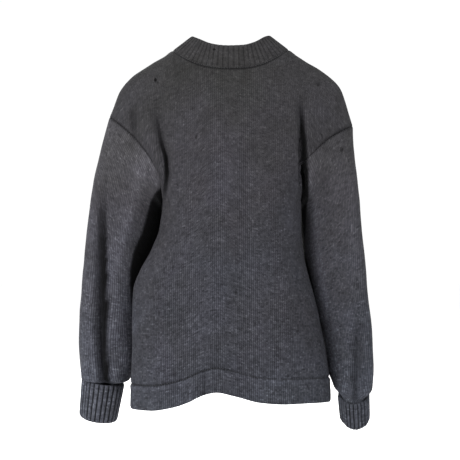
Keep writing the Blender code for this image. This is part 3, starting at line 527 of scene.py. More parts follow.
def sleeve_rings(side, places, yoke):
    """Middle surface of a sleeve, rings downwards from the armhole into the cuff."""
    table = LEFT_SLEEVE if side > 0 else RIGHT_SLEEVE
    cuff = LEFT_CUFF if side > 0 else RIGHT_CUFF
    sizes = along(table, places)
    hole = armhole_ring(side, yoke)
    turn = np.linspace(0.0, 2 * math.pi, 2 * yoke + 1)[:-1]
    rings = []
    for size in sizes:
        rings.append(ellipse_ring(side, size, turn))
    shift = hole - ellipse_ring(side, along(table, 0.0), turn)
    keep = np.clip(1 - np.asarray(places) / 3.5, 0.0, 1.0) ** 1.6
    rings = np.stack(rings) + keep[:, None, None] * shift[None]
    rings[0] = hole
    level = -CUFF_SLOT - WALL / 2
    last = rings[-1]
    before = rings[-2]
    start = cuff_ring(side, cuff, -0.0030, level, turn)
    after = cuff_ring(side, cuff, 0.0, level, turn)
    run_in = unit(last - before) * 0.016
    run_out = unit(after - start) * 0.010
    joint = []
    for part in np.linspace(0.0, 1.0, 9)[1:]:
        a = (1 + 2 * part) * (1 - part) ** 2
        b = part * (1 - part) ** 2
        c = part * part * (3 - 2 * part)
        d = part * part * (part - 1)
        joint.append(a * last + b * run_in + c * start + d * run_out)
    inside = [cuff_ring(side, cuff, down, level, turn)
              for down in np.linspace(-0.0030, CUFF_SEAM - SEAM_GAP / 2, 6)[1:]]
    return np.concatenate([rings, np.stack(joint), np.stack(inside)])


def cuff_ring(side, cuff, down, level, turn):
    """Loop round the cuff, down from its free edge, level away from its slot."""
    top = np.array(cuff["top"])
    axis = np.array(cuff["fold"]) - top
    long = np.linalg.norm(axis)
    axis = axis / long
    across = np.array([1.0, 0.0, 0.0]) - axis[0] * axis
    across = side * across / np.linalg.norm(across)
    back = side * np.cross(across, axis)
    part = down / long
    size = (1 - part) * np.array(cuff["top_size"]) + part * np.array(cuff["fold_size"])
    wide = np.cos(turn)[:, None] * across
    deep = np.sin(turn)[:, None] * back
    out = unit(wide / size[0] + deep / size[1])
    return top + axis * down + wide * size[0] + deep * size[1] + out * (level + 0.0 * turn)[:, None]


def ellipse_ring(side, size, turn):
    """One sleeve section between its outer and inner points."""
    outer = np.array([side * size[0], size[4], size[1]])
    inner = np.array([side * size[2], size[5], size[3]])
    middle = (outer + inner) / 2
    reach = (outer - inner) / 2
    deep = np.array([0.0, size[6], -size[7]])
    wide = np.sign(np.cos(turn)) * np.abs(np.cos(turn)) ** SLEEVE_FLATNESS
    high = np.sign(np.sin(turn)) * np.abs(np.sin(turn)) ** SLEEVE_FLATNESS
    return middle + wide[:, None] * reach + high[:, None] * deep


def near_line(points, line):
    """Distance to a line of x and z places, the side, the way across, and the line's own values."""
    line = np.asarray(line, float)
    shape = points.shape[:-1]
    best = np.full(shape, 1e9)
    signed = np.zeros(shape)
    sideways = np.zeros(points.shape)
    values = np.zeros(shape + (line.shape[1] - 2,))
    for start, end in zip(line[:-1], line[1:]):
        run = end[:2] - start[:2]
        x = points[..., 0] - start[0]
        z = points[..., 2] - start[1]
        part = np.clip((x * run[0] + z * run[1]) / (run @ run), 0.0, 1.0)
        away = np.hypot(x - part * run[0], z - part * run[1])
        nearer = away < best
        side = np.array([run[1], 0.0, -run[0]]) / np.hypot(run[0], run[1])
        here = start[2:] + (end[2:] - start[2:]) * part[..., None]
        best = np.where(nearer, away, best)
        signed = np.where(nearer, x * side[0] + z * side[2], signed)
        sideways = np.where(nearer[..., None], side, sideways)
        values = np.where(nearer[..., None], here, values)
    return best, signed, sideways, values


def fold_shift(kind, points, normals):
    """How far the folds move each point of the plain form."""
    total = np.zeros_like(points)
    for pieces, face, half, lap_side, line in FOLDS:
        if pieces != "both" and pieces != kind:
            continue
        away, signed, sideways, values = near_line(points, line)
        facing = smooth(face * normals[..., 1] * 1.6)
        level = values[..., 0] * np.exp(-((away / half) ** 2))
        lap = values[..., 1]
        over = 0.0 * away
        if lap_side:
            over = np.exp(-(((signed * lap_side - 1.5 * half) / (1.3 * half)) ** 2))
            over = over * np.exp(-((away / (4 * half)) ** 4))
        total += normals * ((level + 0.8 * lap * over) * facing)[..., None]
        total -= sideways * (lap_side * lap * over * facing)[..., None]
    return total


def shadow_level(kind, points, normals):
    """How deep each point lies in a crease or gap; below zero where a soft ridge catches the light."""
    dark = np.zeros(points.shape[:-1])
    light = np.zeros(points.shape[:-1])
    for pieces, face, half, far_half, line in SHADOWS:
        if pieces != "both" and pieces != kind:
            continue
        away, signed, sideways, values = near_line(points, line)
        signed = signed * np.sign(sideways[..., 0])
        width = np.where(signed > 0, half, far_half)
        facing = smooth(face * normals[..., 1] * 1.6 + 0.3)
        level = values[..., 0] * facing
        if min(value[2] for value in line) < 0:
            light = np.minimum(light, level * np.exp(-((away / width) ** 2)))
        else:
            dark = np.maximum(dark, level * np.exp(-((away / width) ** 4)))
    if kind == "sleeve":
        left = points[..., 0].mean() > 0
        table = np.array(LEFT_GAP if left else RIGHT_GAP)
        edge = np.interp(points[..., 2], table[:, 0], table[:, 1])
        soft = 0.005 if left else 0.003
        inside = smooth((edge - np.abs(points[..., 0])) / soft + 0.5)
        dark = np.maximum(dark, inside * smooth(normals[..., 1] * 1.6 + 0.8))
    return np.where(dark > 0.05, dark, dark + light)


def uneven(points, normals):
    """Small slack ripples in the cloth."""
    flat = points.reshape(-1, 3)
    lift = np.empty(len(flat))
    offset = Vector((SLACK_SEED, SLACK_SEED * 0.7, -SLACK_SEED))
    for index, point in enumerate(flat.tolist()):
        place = Vector(point)
        broad = noise.noise(place * 14.0 + offset)
        tight = noise.noise(Vector((place.x * 46.0, place.y * 46.0, place.z * 30.0)) + offset)
        lift[index] = BROAD_SLACK * broad + TIGHT_SLACK * tight
    return points + normals * lift.reshape(points.shape[:-1])[..., None]


def grid_normals(grids):
    """Wall directions of the panels, shared and lengthened where their edges meet at an angle."""
    sums = {}
    for points, closed, flip, _ in grids.values():
        after = np.roll(points, -1, axis=1) if closed else points[:, 1:]
        base = points if closed else points[:, :-1]
        face = np.cross(after[1:] - base[:-1], base[1:] - after[:-1]) * (-1 if flip else 1)
        total = np.zeros_like(points)
        spans = face.shape[1]
        total[:-1, :spans] += face
        total[1:, :spans] += face
        if closed:
            total[:-1] += np.roll(face, 1, axis=1)
            total[1:] += np.roll(face, 1, axis=1)
        else:
            total[:-1, 1:] += face
            total[1:, 1:] += face
        for key, value in zip(np.round(points.reshape(-1, 3), 6).tolist(), unit(total.reshape(-1, 3))):
            sums.setdefault(tuple(key), []).append(value)
    normals = {}
    for name, (points, _, _, _) in grids.items():
        found = []
        for key in np.round(points.reshape(-1, 3), 6).tolist():
            parts = sums[tuple(key)]
            total = parts[0] if len(parts) == 1 else np.sum(parts, axis=0)
            size = np.linalg.norm(total) / len(parts)
            found.append(total / np.linalg.norm(total) / max(size, 0.6))
        normals[name] = np.array(found).reshape(points.shape)
    return normals


def pull_back(points, normals, closed):
    """Shift the open edges back by half a seam gap, and further where the seam is a sharp corner."""
    moved = points.copy()

    def step(edge, inside, normal):
        run = inside - edge
        sharp = (normal * normal).sum(-1)[..., None]
        return SEAM_GAP / 2 * sharp * run / np.linalg.norm(run, axis=-1)[..., None]

    moved[0] += step(points[0], points[1], normals[0])
    moved[-1] += step(points[-1], points[-2], normals[-1])
    if not closed:
        moved[:, 0] += step(points[:, 0], points[:, 1], normals[:, 0])
        moved[:, -1] += step(points[:, -1], points[:, -2], normals[:, -1])
    return moved


def hem_walls(above):
    """Extra outer and inner wall at the doubled hem, by height above the lower edge."""
    inside = smooth((HEM_DEPTH + 0.0015 - above) / 0.004)
    line = np.exp(-(((above - HEM_DEPTH) / 0.0022) ** 2))
    ridge = np.exp(-(((above - HEM_DEPTH + 0.006) / 0.0035) ** 2))
    edge = smooth((0.004 - above) / 0.004)
    outer = 0.0004 * inside - HEM_GROOVE * line + HEM_RIDGE * ridge - EDGE_ROLL * edge
    inner = HEM_EXTRA * inside - EDGE_ROLL * edge
    return outer, inner


def cloth_object(name, vertices, faces, corner_places=None, attributes=None, rounded=True):
    """Mesh object with its cloth places in metres as a UV map."""
    mesh = bpy.data.meshes.new(name)
    mesh.from_pydata([tuple(point) for point in vertices], [], faces)
    if corner_places is not None:
        layer = mesh.uv_layers.new(name="cloth")
        layer.data.foreach_set("uv", np.asarray(corner_places, np.float32).ravel())
    for label, values in (attributes or {}).items():
        item = mesh.attributes.new(label, "FLOAT", "POINT")
        item.data.foreach_set("value", np.asarray(values, np.float32).ravel())
    mesh.polygons.foreach_set("use_smooth", np.full(len(mesh.polygons), rounded))
    mesh.validate()
    mesh.update()
    item = bpy.data.objects.new(name, mesh)
    bpy.context.scene.collection.objects.link(item)
    return item


def grid_faces(rows, columns, closed, flip):
    """Quads of the outer wall, the inner wall and the edges between them."""
    count = rows * columns
    spans = columns if closed else columns - 1
    row, column = np.meshgrid(np.arange(rows - 1), np.arange(spans), indexing="ij")
    a = (row * columns + column).ravel()
    b = (row * columns + (column + 1) % columns).ravel()
    c = b + columns
    d = a + columns
    outer = np.stack([a, b, c, d], axis=1)
    inner = np.stack([d, c, b, a], axis=1) + count
    line = np.arange(spans)
    beside = (line + 1) % columns
    low = np.stack([beside, line, line + count, beside + count], axis=1)
    top = (rows - 1) * columns
    high = np.stack([top + line, top + beside, top + beside + count, top + line + count], axis=1)
    parts = [outer, inner, low, high]
    if not closed:
        side = np.arange(rows - 1) * columns
        parts.append(np.stack([side, side + columns, side + columns + count, side + count], axis=1))
        side = side + columns - 1
        parts.append(np.stack([side + columns, side, side + count, side + columns + count], axis=1))
    faces = np.concatenate(parts)
    return faces[:, ::-1] if flip else faces


def cloth_shell(name, points, normals, closed, flip, above, places, around, dark):
    """Thin closed shell of a panel or sleeve, with its edges rolled in at the seams."""
    outer_extra = np.zeros(points.shape[:2])
    inner_extra = np.zeros(points.shape[:2])
    if above is not None:
        hem_outer, hem_inner = hem_walls(above)
        outer_extra += hem_outer
        inner_extra += hem_inner
        outer_extra[-1] -= SEAM_ROLL
        outer_extra[:, 0] -= SIDE_ROLL
        outer_extra[:, -1] -= SIDE_ROLL
    else:
        outer_extra[0] -= SEAM_ROLL
    edge = pull_back(points, normals, closed)
    outer = edge + normals * (WALL / 2 + outer_extra)[..., None]
    inner = edge - normals * (WALL / 2 + inner_extra)[..., None]
    rows, columns = points.shape[:2]
    faces = grid_faces(rows, columns, closed, flip)
    flat = np.concatenate([places.reshape(-1, 2)] * 2)
    corners = flat[faces].copy()
    if closed:
        row = (faces % (rows * columns)) // columns
        wide = corners[..., 0].max(axis=1) - corners[..., 0].min(axis=1) > 0.05
        behind = wide[:, None] & (corners[..., 0] < 0.0)
        corners[..., 0] = np.where(behind, corners[..., 0] + around[row], corners[..., 0])
    vertices = np.concatenate([outer.reshape(-1, 3), inner.reshape(-1, 3)])
    # The painted shade and highlight go on the outer wall only, carried as the depth attribute.
    dark = np.concatenate([dark.ravel(), 0.0 * dark.ravel()])
    return cloth_object(name, vertices, faces.tolist(), corners.reshape(-1, 2), {"depth": dark})


def panel_places(points, middle):
    """Where each point lies on the flat cloth: across from the middle column, and up."""
    across = np.diff(points, axis=1)
    across = np.hypot(across[..., 0], across[..., 1])
    wide = np.concatenate([np.zeros((len(points), 1)), np.cumsum(across, axis=1)], axis=1)
    wide = wide - wide[:, middle][:, None]
    up = np.diff(points, axis=0)
    up = np.hypot(up[..., 1], up[..., 2])
    tall = np.concatenate([np.zeros((1, points.shape[1])), np.cumsum(up, axis=0)])
    return np.stack([wide, tall], axis=-1)


def sleeve_places(points):
    """Where each point of a sleeve lies: both ways round from the outer line, and down."""
    around = np.linalg.norm(np.roll(points, -1, axis=1) - points, axis=-1)
    total = around.sum(axis=1)
    wide = np.concatenate([np.zeros((len(points), 1)), np.cumsum(around, axis=1)[:, :-1]], axis=1)
    half = points.shape[1] // 2
    wide[:, half + 1:] -= total[:, None]
    down = np.linalg.norm(np.diff(points, axis=0), axis=-1).mean(axis=1)
    tall = np.concatenate([[0.0], np.cumsum(down)])[:, None] + 0.0 * wide
    return np.stack([wide, -tall], axis=-1), total


# Node helpers for the materials
def link(tree, value, socket):
    """Join a socket, or set a plain value."""
    if isinstance(value, bpy.types.NodeSocket):
        tree.links.new(value, socket)
    else:
        socket.default_value = value


def sums(tree, kind, *values):
    """One arithmetic node."""
    node = tree.nodes.new("ShaderNodeMath")
    node.operation = kind
    for socket, value in zip(node.inputs, values):
        link(tree, value, socket)
    return node.outputs[0]


def noise_level(tree, place, scale, detail, rough=0.5):
    """Soft random level."""
    node = tree.nodes.new("ShaderNodeTexNoise")
    node.inputs["Scale"].default_value = scale
    node.inputs["Detail"].default_value = detail
    node.inputs["Roughness"].default_value = rough
    link(tree, place, node.inputs["Vector"])
    return node.outputs["Fac"]


def stretched(tree, place, size):
    """Place coordinates stretched by size along each axis."""
    node = tree.nodes.new("ShaderNodeMapping")
    node.inputs["Scale"].default_value = size
    link(tree, place, node.inputs["Vector"])
    return node.outputs["Vector"]


def colour_steps(tree, level, steps):
    """Colours along a level."""
    node = tree.nodes.new("ShaderNodeValToRGB")
    while len(node.color_ramp.elements) < len(steps):
        node.color_ramp.elements.new(0.5)
    for element, (place, colour) in zip(node.color_ramp.elements, steps):
        element.position = place
        element.color = colour + (1.0,)
    link(tree, level, node.inputs["Fac"])
    return node.outputs["Color"]


def shaded(tree, amount, base, shade):
    """Base colour multiplied by a shade."""
    node = tree.nodes.new("ShaderNodeMix")
    node.data_type = "RGBA"
    node.blend_type = "MULTIPLY"
    link(tree, amount, node.inputs["Factor"])
    link(tree, base, node.inputs["A"])
    link(tree, shade, node.inputs["B"])
    return node.outputs["Result"]


def split(tree, place):
    """The three parts of a place."""
    node = tree.nodes.new("ShaderNodeSeparateXYZ")
    tree.links.new(place, node.inputs[0])
    return node.outputs["X"], node.outputs["Y"], node.outputs["Z"]


def carried(tree, label):
    """Value that the mesh carries at each point."""
    node = tree.nodes.new("ShaderNodeAttribute")
    node.attribute_name = label
    return node.outputs["Fac"]


def bumped(tree, height, strength, distance, under=None):
    """Surface direction with a small relief, over another relief where there is one."""
    node = tree.nodes.new("ShaderNodeBump")
    node.inputs["Strength"].default_value = strength
    node.inputs["Distance"].default_value = distance
    tree.links.new(height, node.inputs["Height"])
    if under is not None:
        tree.links.new(under, node.inputs["Normal"])
    return node.outputs["Normal"]


def new_material(name):
    """Material, its tree, its shader and the place in space."""
    material = bpy.data.materials.new(name)
    material.use_nodes = True
    tree = material.node_tree
    space = tree.nodes.new("ShaderNodeTexCoord").outputs["Object"]
    return material, tree, tree.nodes["Principled BSDF"], space


def cell_level(tree, column, row):
    """A steady random level for each stitch."""
    place = tree.nodes.new("ShaderNodeCombineXYZ")
    tree.links.new(sums(tree, "FLOOR", column), place.inputs["X"])
    tree.links.new(sums(tree, "FLOOR", row), place.inputs["Y"])
    node = tree.nodes.new("ShaderNodeTexWhiteNoise")
    node.noise_dimensions = "2D"
    tree.links.new(place.outputs[0], node.inputs["Vector"])
    return node.outputs["Value"]


def run_level(tree, along_x, along_y):
    """Wool that runs paler and darker, read at two places that may be steps or smooth."""
    place = tree.nodes.new("ShaderNodeCombineXYZ")
    tree.links.new(along_x, place.inputs["X"])
    tree.links.new(along_y, place.inputs["Y"])
    return noise_level(tree, place.outputs[0], 1.0, 2.0, 0.6)


def yarn_level(tree, across, row):
    """Yarn that runs paler and darker along each course."""
    return run_level(tree, sums(tree, "MULTIPLY", across, 95.0),
                     sums(tree, "MULTIPLY", sums(tree, "FLOOR", row), 7.31))


def wale_level(tree, column, up):
    """Columns of stitches that run paler and darker down the cloth."""
    return run_level(tree, sums(tree, "MULTIPLY", sums(tree, "FLOOR", column), 5.17),
                     sums(tree, "MULTIPLY", up, 55.0))


def course_level(tree, across, row):
    """Rows of stitches that run paler and darker across the cloth."""
    return run_level(tree, sums(tree, "MULTIPLY", across, 75.0),
                     sums(tree, "MULTIPLY", sums(tree, "FLOOR", row), 3.71))


def knit_level(tree, leg, row):
    """Height of the knitted stitches, with two slanted legs to each column."""
    part = sums(tree, "MULTIPLY", leg, 2.0)
    side = sums(tree, "SINE", sums(tree, "MULTIPLY", part, math.pi))
    loop = sums(tree, "SINE", sums(tree, "MULTIPLY", sums(tree, "FRACT", row), math.pi))
    body = sums(tree, "SUBTRACT", 1.0, sums(tree, "POWER", part, 2.0))
    return sums(tree, "ADD", sums(tree, "MULTIPLY", body, 0.62),
                sums(tree, "MULTIPLY", sums(tree, "MULTIPLY", side, loop), 0.38))


def heather_level(tree, across, up, column, row, space, drop):
    """Mixed dark and pale yarn, more strongly mixed towards the hem."""
    shares = (
        (yarn_level(tree, across, row), 0.30),
        (wale_level(tree, column, up), 0.20),
        (cell_level(tree, column, row), 0.14),
        (course_level(tree, across, row), 0.26),
        (noise_level(tree, space, 1100.0, 1.0), 0.10),
    )
    level = sums(tree, "MULTIPLY", *shares[0])
    for value, share in shares[1:]:
        level = sums(tree, "ADD", level, sums(tree, "MULTIPLY", value, share))
    spread = sums(tree, "ADD", sums(tree, "MULTIPLY", drop, 0.45), 0.70)
    return sums(tree, "ADD", sums(tree, "MULTIPLY", sums(tree, "SUBTRACT", level, 0.5), spread), 0.5)


def wool_colour(tree, level, tint, space, drop):
    """Yarn colours, paler and cooler towards the hem, with soft patches."""
    patch = noise_level(tree, space, 15.0, 3.0, 0.55)
    mottle = noise_level(tree, stretched(tree, space, (55.0, 55.0, 80.0)), 1.0, 3.0, 0.6)
    broad = noise_level(tree, space, 6.0, 2.0)
    height_tone = sums(tree, "ADD", drop, sums(tree, "MULTIPLY", sums(tree, "SUBTRACT", broad, 0.5), 0.8))
    base = shaded(tree, 1.0, colour_steps(tree, level, YARN_COLOURS), tint + (1.0,))
    base = shaded(tree, 1.0, base, colour_steps(tree, height_tone, HEIGHT_COLOURS))
    base = shaded(tree, 0.8, base, colour_steps(tree, patch, PATCH_SHADES))
    return shaded(tree, 0.6, base, colour_steps(tree, mottle, MOTTLE_SHADES))


def shade_painted_in_furrows(tree, base, furrow_shade):
    """Painted shade in the furrows between the ribs."""
    off = sums(tree, "ABSOLUTE", sums(tree, "SUBTRACT", sums(tree, "FRACT", carried(tree, "rib_place")), 0.5))
    low = 1.0 - furrow_shade
    steps = ((0.50, (1.06, 1.06, 1.06)), (0.76, (0.5 + 0.5 * low,) * 3), (0.94, (low, low, low)))
    shade = colour_steps(tree, sums(tree, "MULTIPLY", off, 2.0), steps)
    return shaded(tree, carried(tree, "rib_part"), base, shade)


def wear_and_hole_shade(tree, space, base):
    """Small holes painted dark as painted shade seen through them, thin places and marks on the back."""
    place_x, place_y, place_z = split(tree, space)
    behind = sums(tree, "GREATER_THAN", place_y, 0.0)
    for x, z, wide, high, level in WEAR_AND_HOLE_SHADE:
        across = sums(tree, "DIVIDE", sums(tree, "SUBTRACT", place_x, x), wide)
        up = sums(tree, "DIVIDE", sums(tree, "SUBTRACT", place_z, z), high)
        away = sums(tree, "ADD", sums(tree, "MULTIPLY", across, across), sums(tree, "MULTIPLY", up, up))
        inside = sums(tree, "MINIMUM", sums(tree, "MAXIMUM", sums(tree, "SUBTRACT", 1.5, away), 0.0), 1.0)
        base = shaded(tree, sums(tree, "MULTIPLY", inside, behind), base, (level, level, level, 1.0))
    return base


def wool(name, tint, relief, furrow_shade=None):
    """Heathered wool: dark and pale yarn, knitted columns, darker and warmer towards the top, painted shade
    between the stitches and in creases and seams; ribs have painted shade in their furrows.
    """
    material, tree, shader, space = new_material(name)
    flat = tree.nodes.new("ShaderNodeUVMap")
    flat.uv_map = "cloth"
    across, up, _ = split(tree, flat.outputs["UV"])
    drop = sums(tree, "MINIMUM", sums(tree, "MULTIPLY", split(tree, space)[2], -1.6), 1.0)
    column = sums(tree, "DIVIDE", across, WALE)
    leg = sums(tree, "ABSOLUTE", sums(tree, "SUBTRACT", sums(tree, "FRACT", column), 0.5))
    row = sums(tree, "ADD", sums(tree, "DIVIDE", up, COURSE), sums(tree, "MULTIPLY", leg, 0.8))
    knit = knit_level(tree, leg, row)
    level = heather_level(tree, across, up, column, row, space, drop)

    base = wool_colour(tree, level, tint, space, drop)
    # Painted shade between the stitches and painted highlight on their crests, stronger towards the hem.
    plain = PANEL_STITCH_SHADE if furrow_shade is None else RIB_STITCH_SHADE
    strength = sums(tree, "MULTIPLY", sums(tree, "ADD", sums(tree, "MULTIPLY", drop, 0.70), 0.25), plain)
    base = shaded(tree, strength, base, colour_steps(tree, knit, STITCH_SHADES))
    if furrow_shade is not None:
        base = shade_painted_in_furrows(tree, base, furrow_shade)
    base = wear_and_hole_shade(tree, space, base)
    # Painted shade in creases, gaps and seams, and painted highlight on soft ridges, from the depth
    # attribute.
    depth = sums(tree, "ADD", sums(tree, "MULTIPLY", carried(tree, "depth"), 0.5), 0.5)
    base = shaded(tree, 1.0, base, colour_steps(tree, depth, CREASE_SHADES))

    tree.links.new(base, shader.inputs["Base Color"])
    shader.inputs["Roughness"].default_value = 0.95
    shader.inputs["Specular IOR Level"].default_value = 0.08
    shader.inputs["Sheen Weight"].default_value = 0.02
    shader.inputs["Sheen Roughness"].default_value = 0.5
    shader.inputs["Sheen Tint"].default_value = (0.70, 0.71, 0.76, 1.0)
    stitches = bumped(tree, knit, 0.8, relief)
    tree.links.new(bumped(tree, level, 0.3, 0.0005, stitches), shader.inputs["Normal"])
    return material


def thread(name, colour):
    """Twisted sewing thread."""
    material, tree, shader, space = new_material(name)
    grain = noise_level(tree, space, 900.0, 2.0)
    dark = tuple(0.6 * part for part in colour)
    pale = tuple(1.5 * part for part in colour)
    tree.links.new(colour_steps(tree, grain, ((0.35, dark), (0.65, pale))), shader.inputs["Base Color"])
    shader.inputs["Roughness"].default_value = 0.8
    tree.links.new(bumped(tree, grain, 1.0, 0.0003), shader.inputs["Normal"])
    return material


def horn(name):
    """Dark polished button with a faint grain and scuffed rim."""
    material, tree, shader, space = new_material(name)
    grain = noise_level(tree, stretched(tree, space, (70.0, 70.0, 420.0)), 1.0, 4.0)
    colour = colour_steps(tree, grain, ((0.3, (0.010, 0.008, 0.007)), (0.7, (0.045, 0.032, 0.024))))
    tree.links.new(colour, shader.inputs["Base Color"])
    scuff = colour_steps(tree, noise_level(tree, space, 600.0, 3.0),
                         ((0.4, (0.25, 0.25, 0.25)), (0.7, (0.5, 0.5, 0.5))))
    tree.links.new(scuff, shader.inputs["Roughness"])
    return material


# Geometry Nodes: ribs raised on a band or cuff
def rib_tree(material):
    """Raises ribs along the surface from the rib place that each point carries."""
    tree = bpy.data.node_groups.new("Raise ribs", "GeometryNodeTree")
    face = tree.interface
    face.new_socket("Geometry", in_out="INPUT", socket_type="NodeSocketGeometry")
    rise = face.new_socket("Rib rise", in_out="INPUT", socket_type="NodeSocketFloat")
    furrow = face.new_socket("Furrow sharpness", in_out="INPUT", socket_type="NodeSocketFloat")
    face.new_socket("Geometry", in_out="OUTPUT", socket_type="NodeSocketGeometry")
    start = tree.nodes.new("NodeGroupInput")
    end = tree.nodes.new("NodeGroupOutput")

    def named(label):
        node = tree.nodes.new("GeometryNodeInputNamedAttribute")
        node.data_type = "FLOAT"
        node.inputs["Name"].default_value = label
        return node.outputs["Attribute"]

    place = sums(tree, "SUBTRACT", sums(tree, "FRACT", named("rib_place")), 0.5)
    part = sums(tree, "MULTIPLY", sums(tree, "ABSOLUTE", place), 2.0)
    crest = sums(tree, "SUBTRACT", 1.0, sums(tree, "POWER", part, start.outputs["Furrow sharpness"]))
    level = sums(tree, "MULTIPLY", sums(tree, "MULTIPLY", crest, start.outputs["Rib rise"]),
                 named("rib_part"))
    normal = tree.nodes.new("GeometryNodeInputNamedAttribute")
    normal.data_type = "FLOAT_VECTOR"
    normal.inputs["Name"].default_value = "rib_out"
    scale = tree.nodes.new("ShaderNodeVectorMath")
    scale.operation = "SCALE"
    tree.links.new(normal.outputs["Attribute"], scale.inputs[0])
    tree.links.new(level, scale.inputs["Scale"])
    move = tree.nodes.new("GeometryNodeSetPosition")
    tree.links.new(start.outputs["Geometry"], move.inputs["Geometry"])
    tree.links.new(scale.outputs["Vector"], move.inputs["Offset"])
    real = tree.nodes.new("GeometryNodeRealizeInstances")
    tree.links.new(move.outputs["Geometry"], real.inputs["Geometry"])
    paint = tree.nodes.new("GeometryNodeSetMaterial")
    paint.inputs["Material"].default_value = material
    tree.links.new(real.outputs["Geometry"], paint.inputs["Geometry"])
    tree.links.new(paint.outputs["Geometry"], end.inputs["Geometry"])
    return tree, {"Rib rise": rise.identifier, "Furrow sharpness": furrow.identifier}


def stitch_tree(material):
    """A row of stitches along a curve."""
    tree = bpy.data.node_groups.new("Row of stitches", "GeometryNodeTree")
    face = tree.interface
    face.new_socket("Geometry", in_out="INPUT", socket_type="NodeSocketGeometry")
    sizes = {}
    for label in ("Stitch spacing", "Stitch length", "Yarn thickness"):
        sizes[label] = face.new_socket(label, in_out="INPUT", socket_type="NodeSocketFloat").identifier
    face.new_socket("Geometry", in_out="OUTPUT", socket_type="NodeSocketGeometry")
    start = tree.nodes.new("NodeGroupInput")
    end = tree.nodes.new("NodeGroupOutput")
    spots = tree.nodes.new("GeometryNodeCurveToPoints")
    spots.mode = "LENGTH"
    tree.links.new(start.outputs["Geometry"], spots.inputs["Curve"])
    tree.links.new(start.outputs["Stitch spacing"], spots.inputs["Length"])
    ball = tree.nodes.new("GeometryNodeMeshUVSphere")
    ball.inputs["Segments"].default_value = 8
    ball.inputs["Rings"].default_value = 6
    ball.inputs["Radius"].default_value = 0.5
    size = tree.nodes.new("ShaderNodeCombineXYZ")
    tree.links.new(start.outputs["Yarn thickness"], size.inputs["X"])
    tree.links.new(start.outputs["Yarn thickness"], size.inputs["Y"])
    tree.links.new(start.outputs["Stitch length"], size.inputs["Z"])
    place = tree.nodes.new("GeometryNodeInstanceOnPoints")
    tree.links.new(spots.outputs["Points"], place.inputs["Points"])
    tree.links.new(ball.outputs["Mesh"], place.inputs["Instance"])
    tree.links.new(spots.outputs["Rotation"], place.inputs["Rotation"])
    tree.links.new(size.outputs["Vector"], place.inputs["Scale"])
    real = tree.nodes.new("GeometryNodeRealizeInstances")
    tree.links.new(place.outputs["Instances"], real.inputs["Geometry"])
    round_off = tree.nodes.new("GeometryNodeSetShadeSmooth")
    tree.links.new(real.outputs["Geometry"], round_off.inputs["Geometry"])
    paint = tree.nodes.new("GeometryNodeSetMaterial")
    paint.inputs["Material"].default_value = material
    tree.links.new(round_off.outputs["Geometry"], paint.inputs["Geometry"])
    tree.links.new(paint.outputs["Geometry"], end.inputs["Geometry"])
    return tree, sizes


def apply_tree(item, tree, identifiers, values):
    """Run a tree on an object and keep the result as a plain mesh."""
    change = item.modifiers.new(tree.name, "NODES")
    change.node_group = tree
    for label, value in values.items():
        change[identifiers[label]] = value
    bpy.context.view_layer.update()
    shown = item.evaluated_get(bpy.context.evaluated_depsgraph_get())
    mesh = bpy.data.meshes.new_from_object(shown)
    name = item.name
    bpy.data.objects.remove(item, do_unlink=True)
    mesh.name = name
    made = bpy.data.objects.new(name, mesh)
    bpy.context.scene.collection.objects.link(made)
    return made


def stitched_line(name, lines, tree, identifiers, spacing, length, thickness):
    """Stitches along one or more lines of points."""
    data = bpy.data.curves.new(name, "CURVE")
    data.dimensions = "3D"
    for points in lines:
        spline = data.splines.new("POLY")
        spline.points.add(len(points) - 1)
        flat = np.concatenate([points, np.ones((len(points), 1))], axis=1)
        spline.points.foreach_set("co", flat.ravel())
    item = bpy.data.objects.new(name, data)
    bpy.context.scene.collection.objects.link(item)
    return apply_tree(item, tree, identifiers,
                      {"Stitch spacing": spacing, "Stitch length": length, "Yarn thickness": thickness})


def line_length(points):
    """Distance along a line of points."""
    steps = np.linalg.norm(np.diff(points, axis=0), axis=1)
    return np.concatenate([[0.0], np.cumsum(steps)])


def read_line(points, lengths, place):
    """Points of a line at the given distances."""
    return np.stack([np.interp(place, lengths, points[:, axis]) for axis in range(3)], axis=-1)


def collar_line(folded, normals, lower):
    """Seam line of the whole band, hem to hem over the back neck, and where the neckband begins and ends."""
    columns = SHOULDER_COLUMNS
    parts = []
    for name, side in (("front_left", 1), ("front_right", -1)):
        points, shared = folded[name][0], normals[name]
        if side < 0:
            points, shared = points[:, ::-1], shared[:, ::-1]
        keep = list(range(lower)) + [len(points) - 1]
        line = np.concatenate([points[keep, 0], points[-1, 1: NECK_COLUMNS]])
        normal = np.concatenate([shared[keep, 0], shared[-1, 1: NECK_COLUMNS]])
        up = np.concatenate([np.zeros(lower), np.linspace(0.0, 1.0, NECK_COLUMNS + 1)[:-1]])
        flat = np.array([-side * 0.96, -0.02, 0.27])
        high = np.array([-side * 0.80, 0.0, 0.60])
        reach = flat + (high - flat) * (up ** 2.0)[:, None]
        reach[: lower + 1] = (-side, 0.0, 0.0)
        step = side * BAND_OVERLAP_STEP * (1 - smooth((up - 0.25) / 0.5))
        parts.append((line, normal, reach, step))
    neck = folded["back"][0][-1][columns: columns + 2 * NECK_COLUMNS + 1]
    neck_normal = normals["back"][-1][columns: columns + 2 * NECK_COLUMNS + 1]
    spread = np.linspace(-1.0, 1.0, len(neck))
    near = np.abs(spread) ** 1.6
    lean = np.stack([np.sign(spread) * 0.80 * near, -0.34 * (1 - near), 0.94 - 0.34 * near], axis=-1)
    left, right = parts
    points = np.concatenate([left[0], neck, right[0][::-1]])
    normal = np.concatenate([left[1], neck_normal, right[1][::-1]])
    reach = np.concatenate([left[2], lean, right[2][::-1]])
    step = np.concatenate([left[3], np.zeros(len(neck)), right[3][::-1]])
    first = len(left[0])
    last = first + len(neck) - 1
    return points, normal, unit(reach), step, first, last


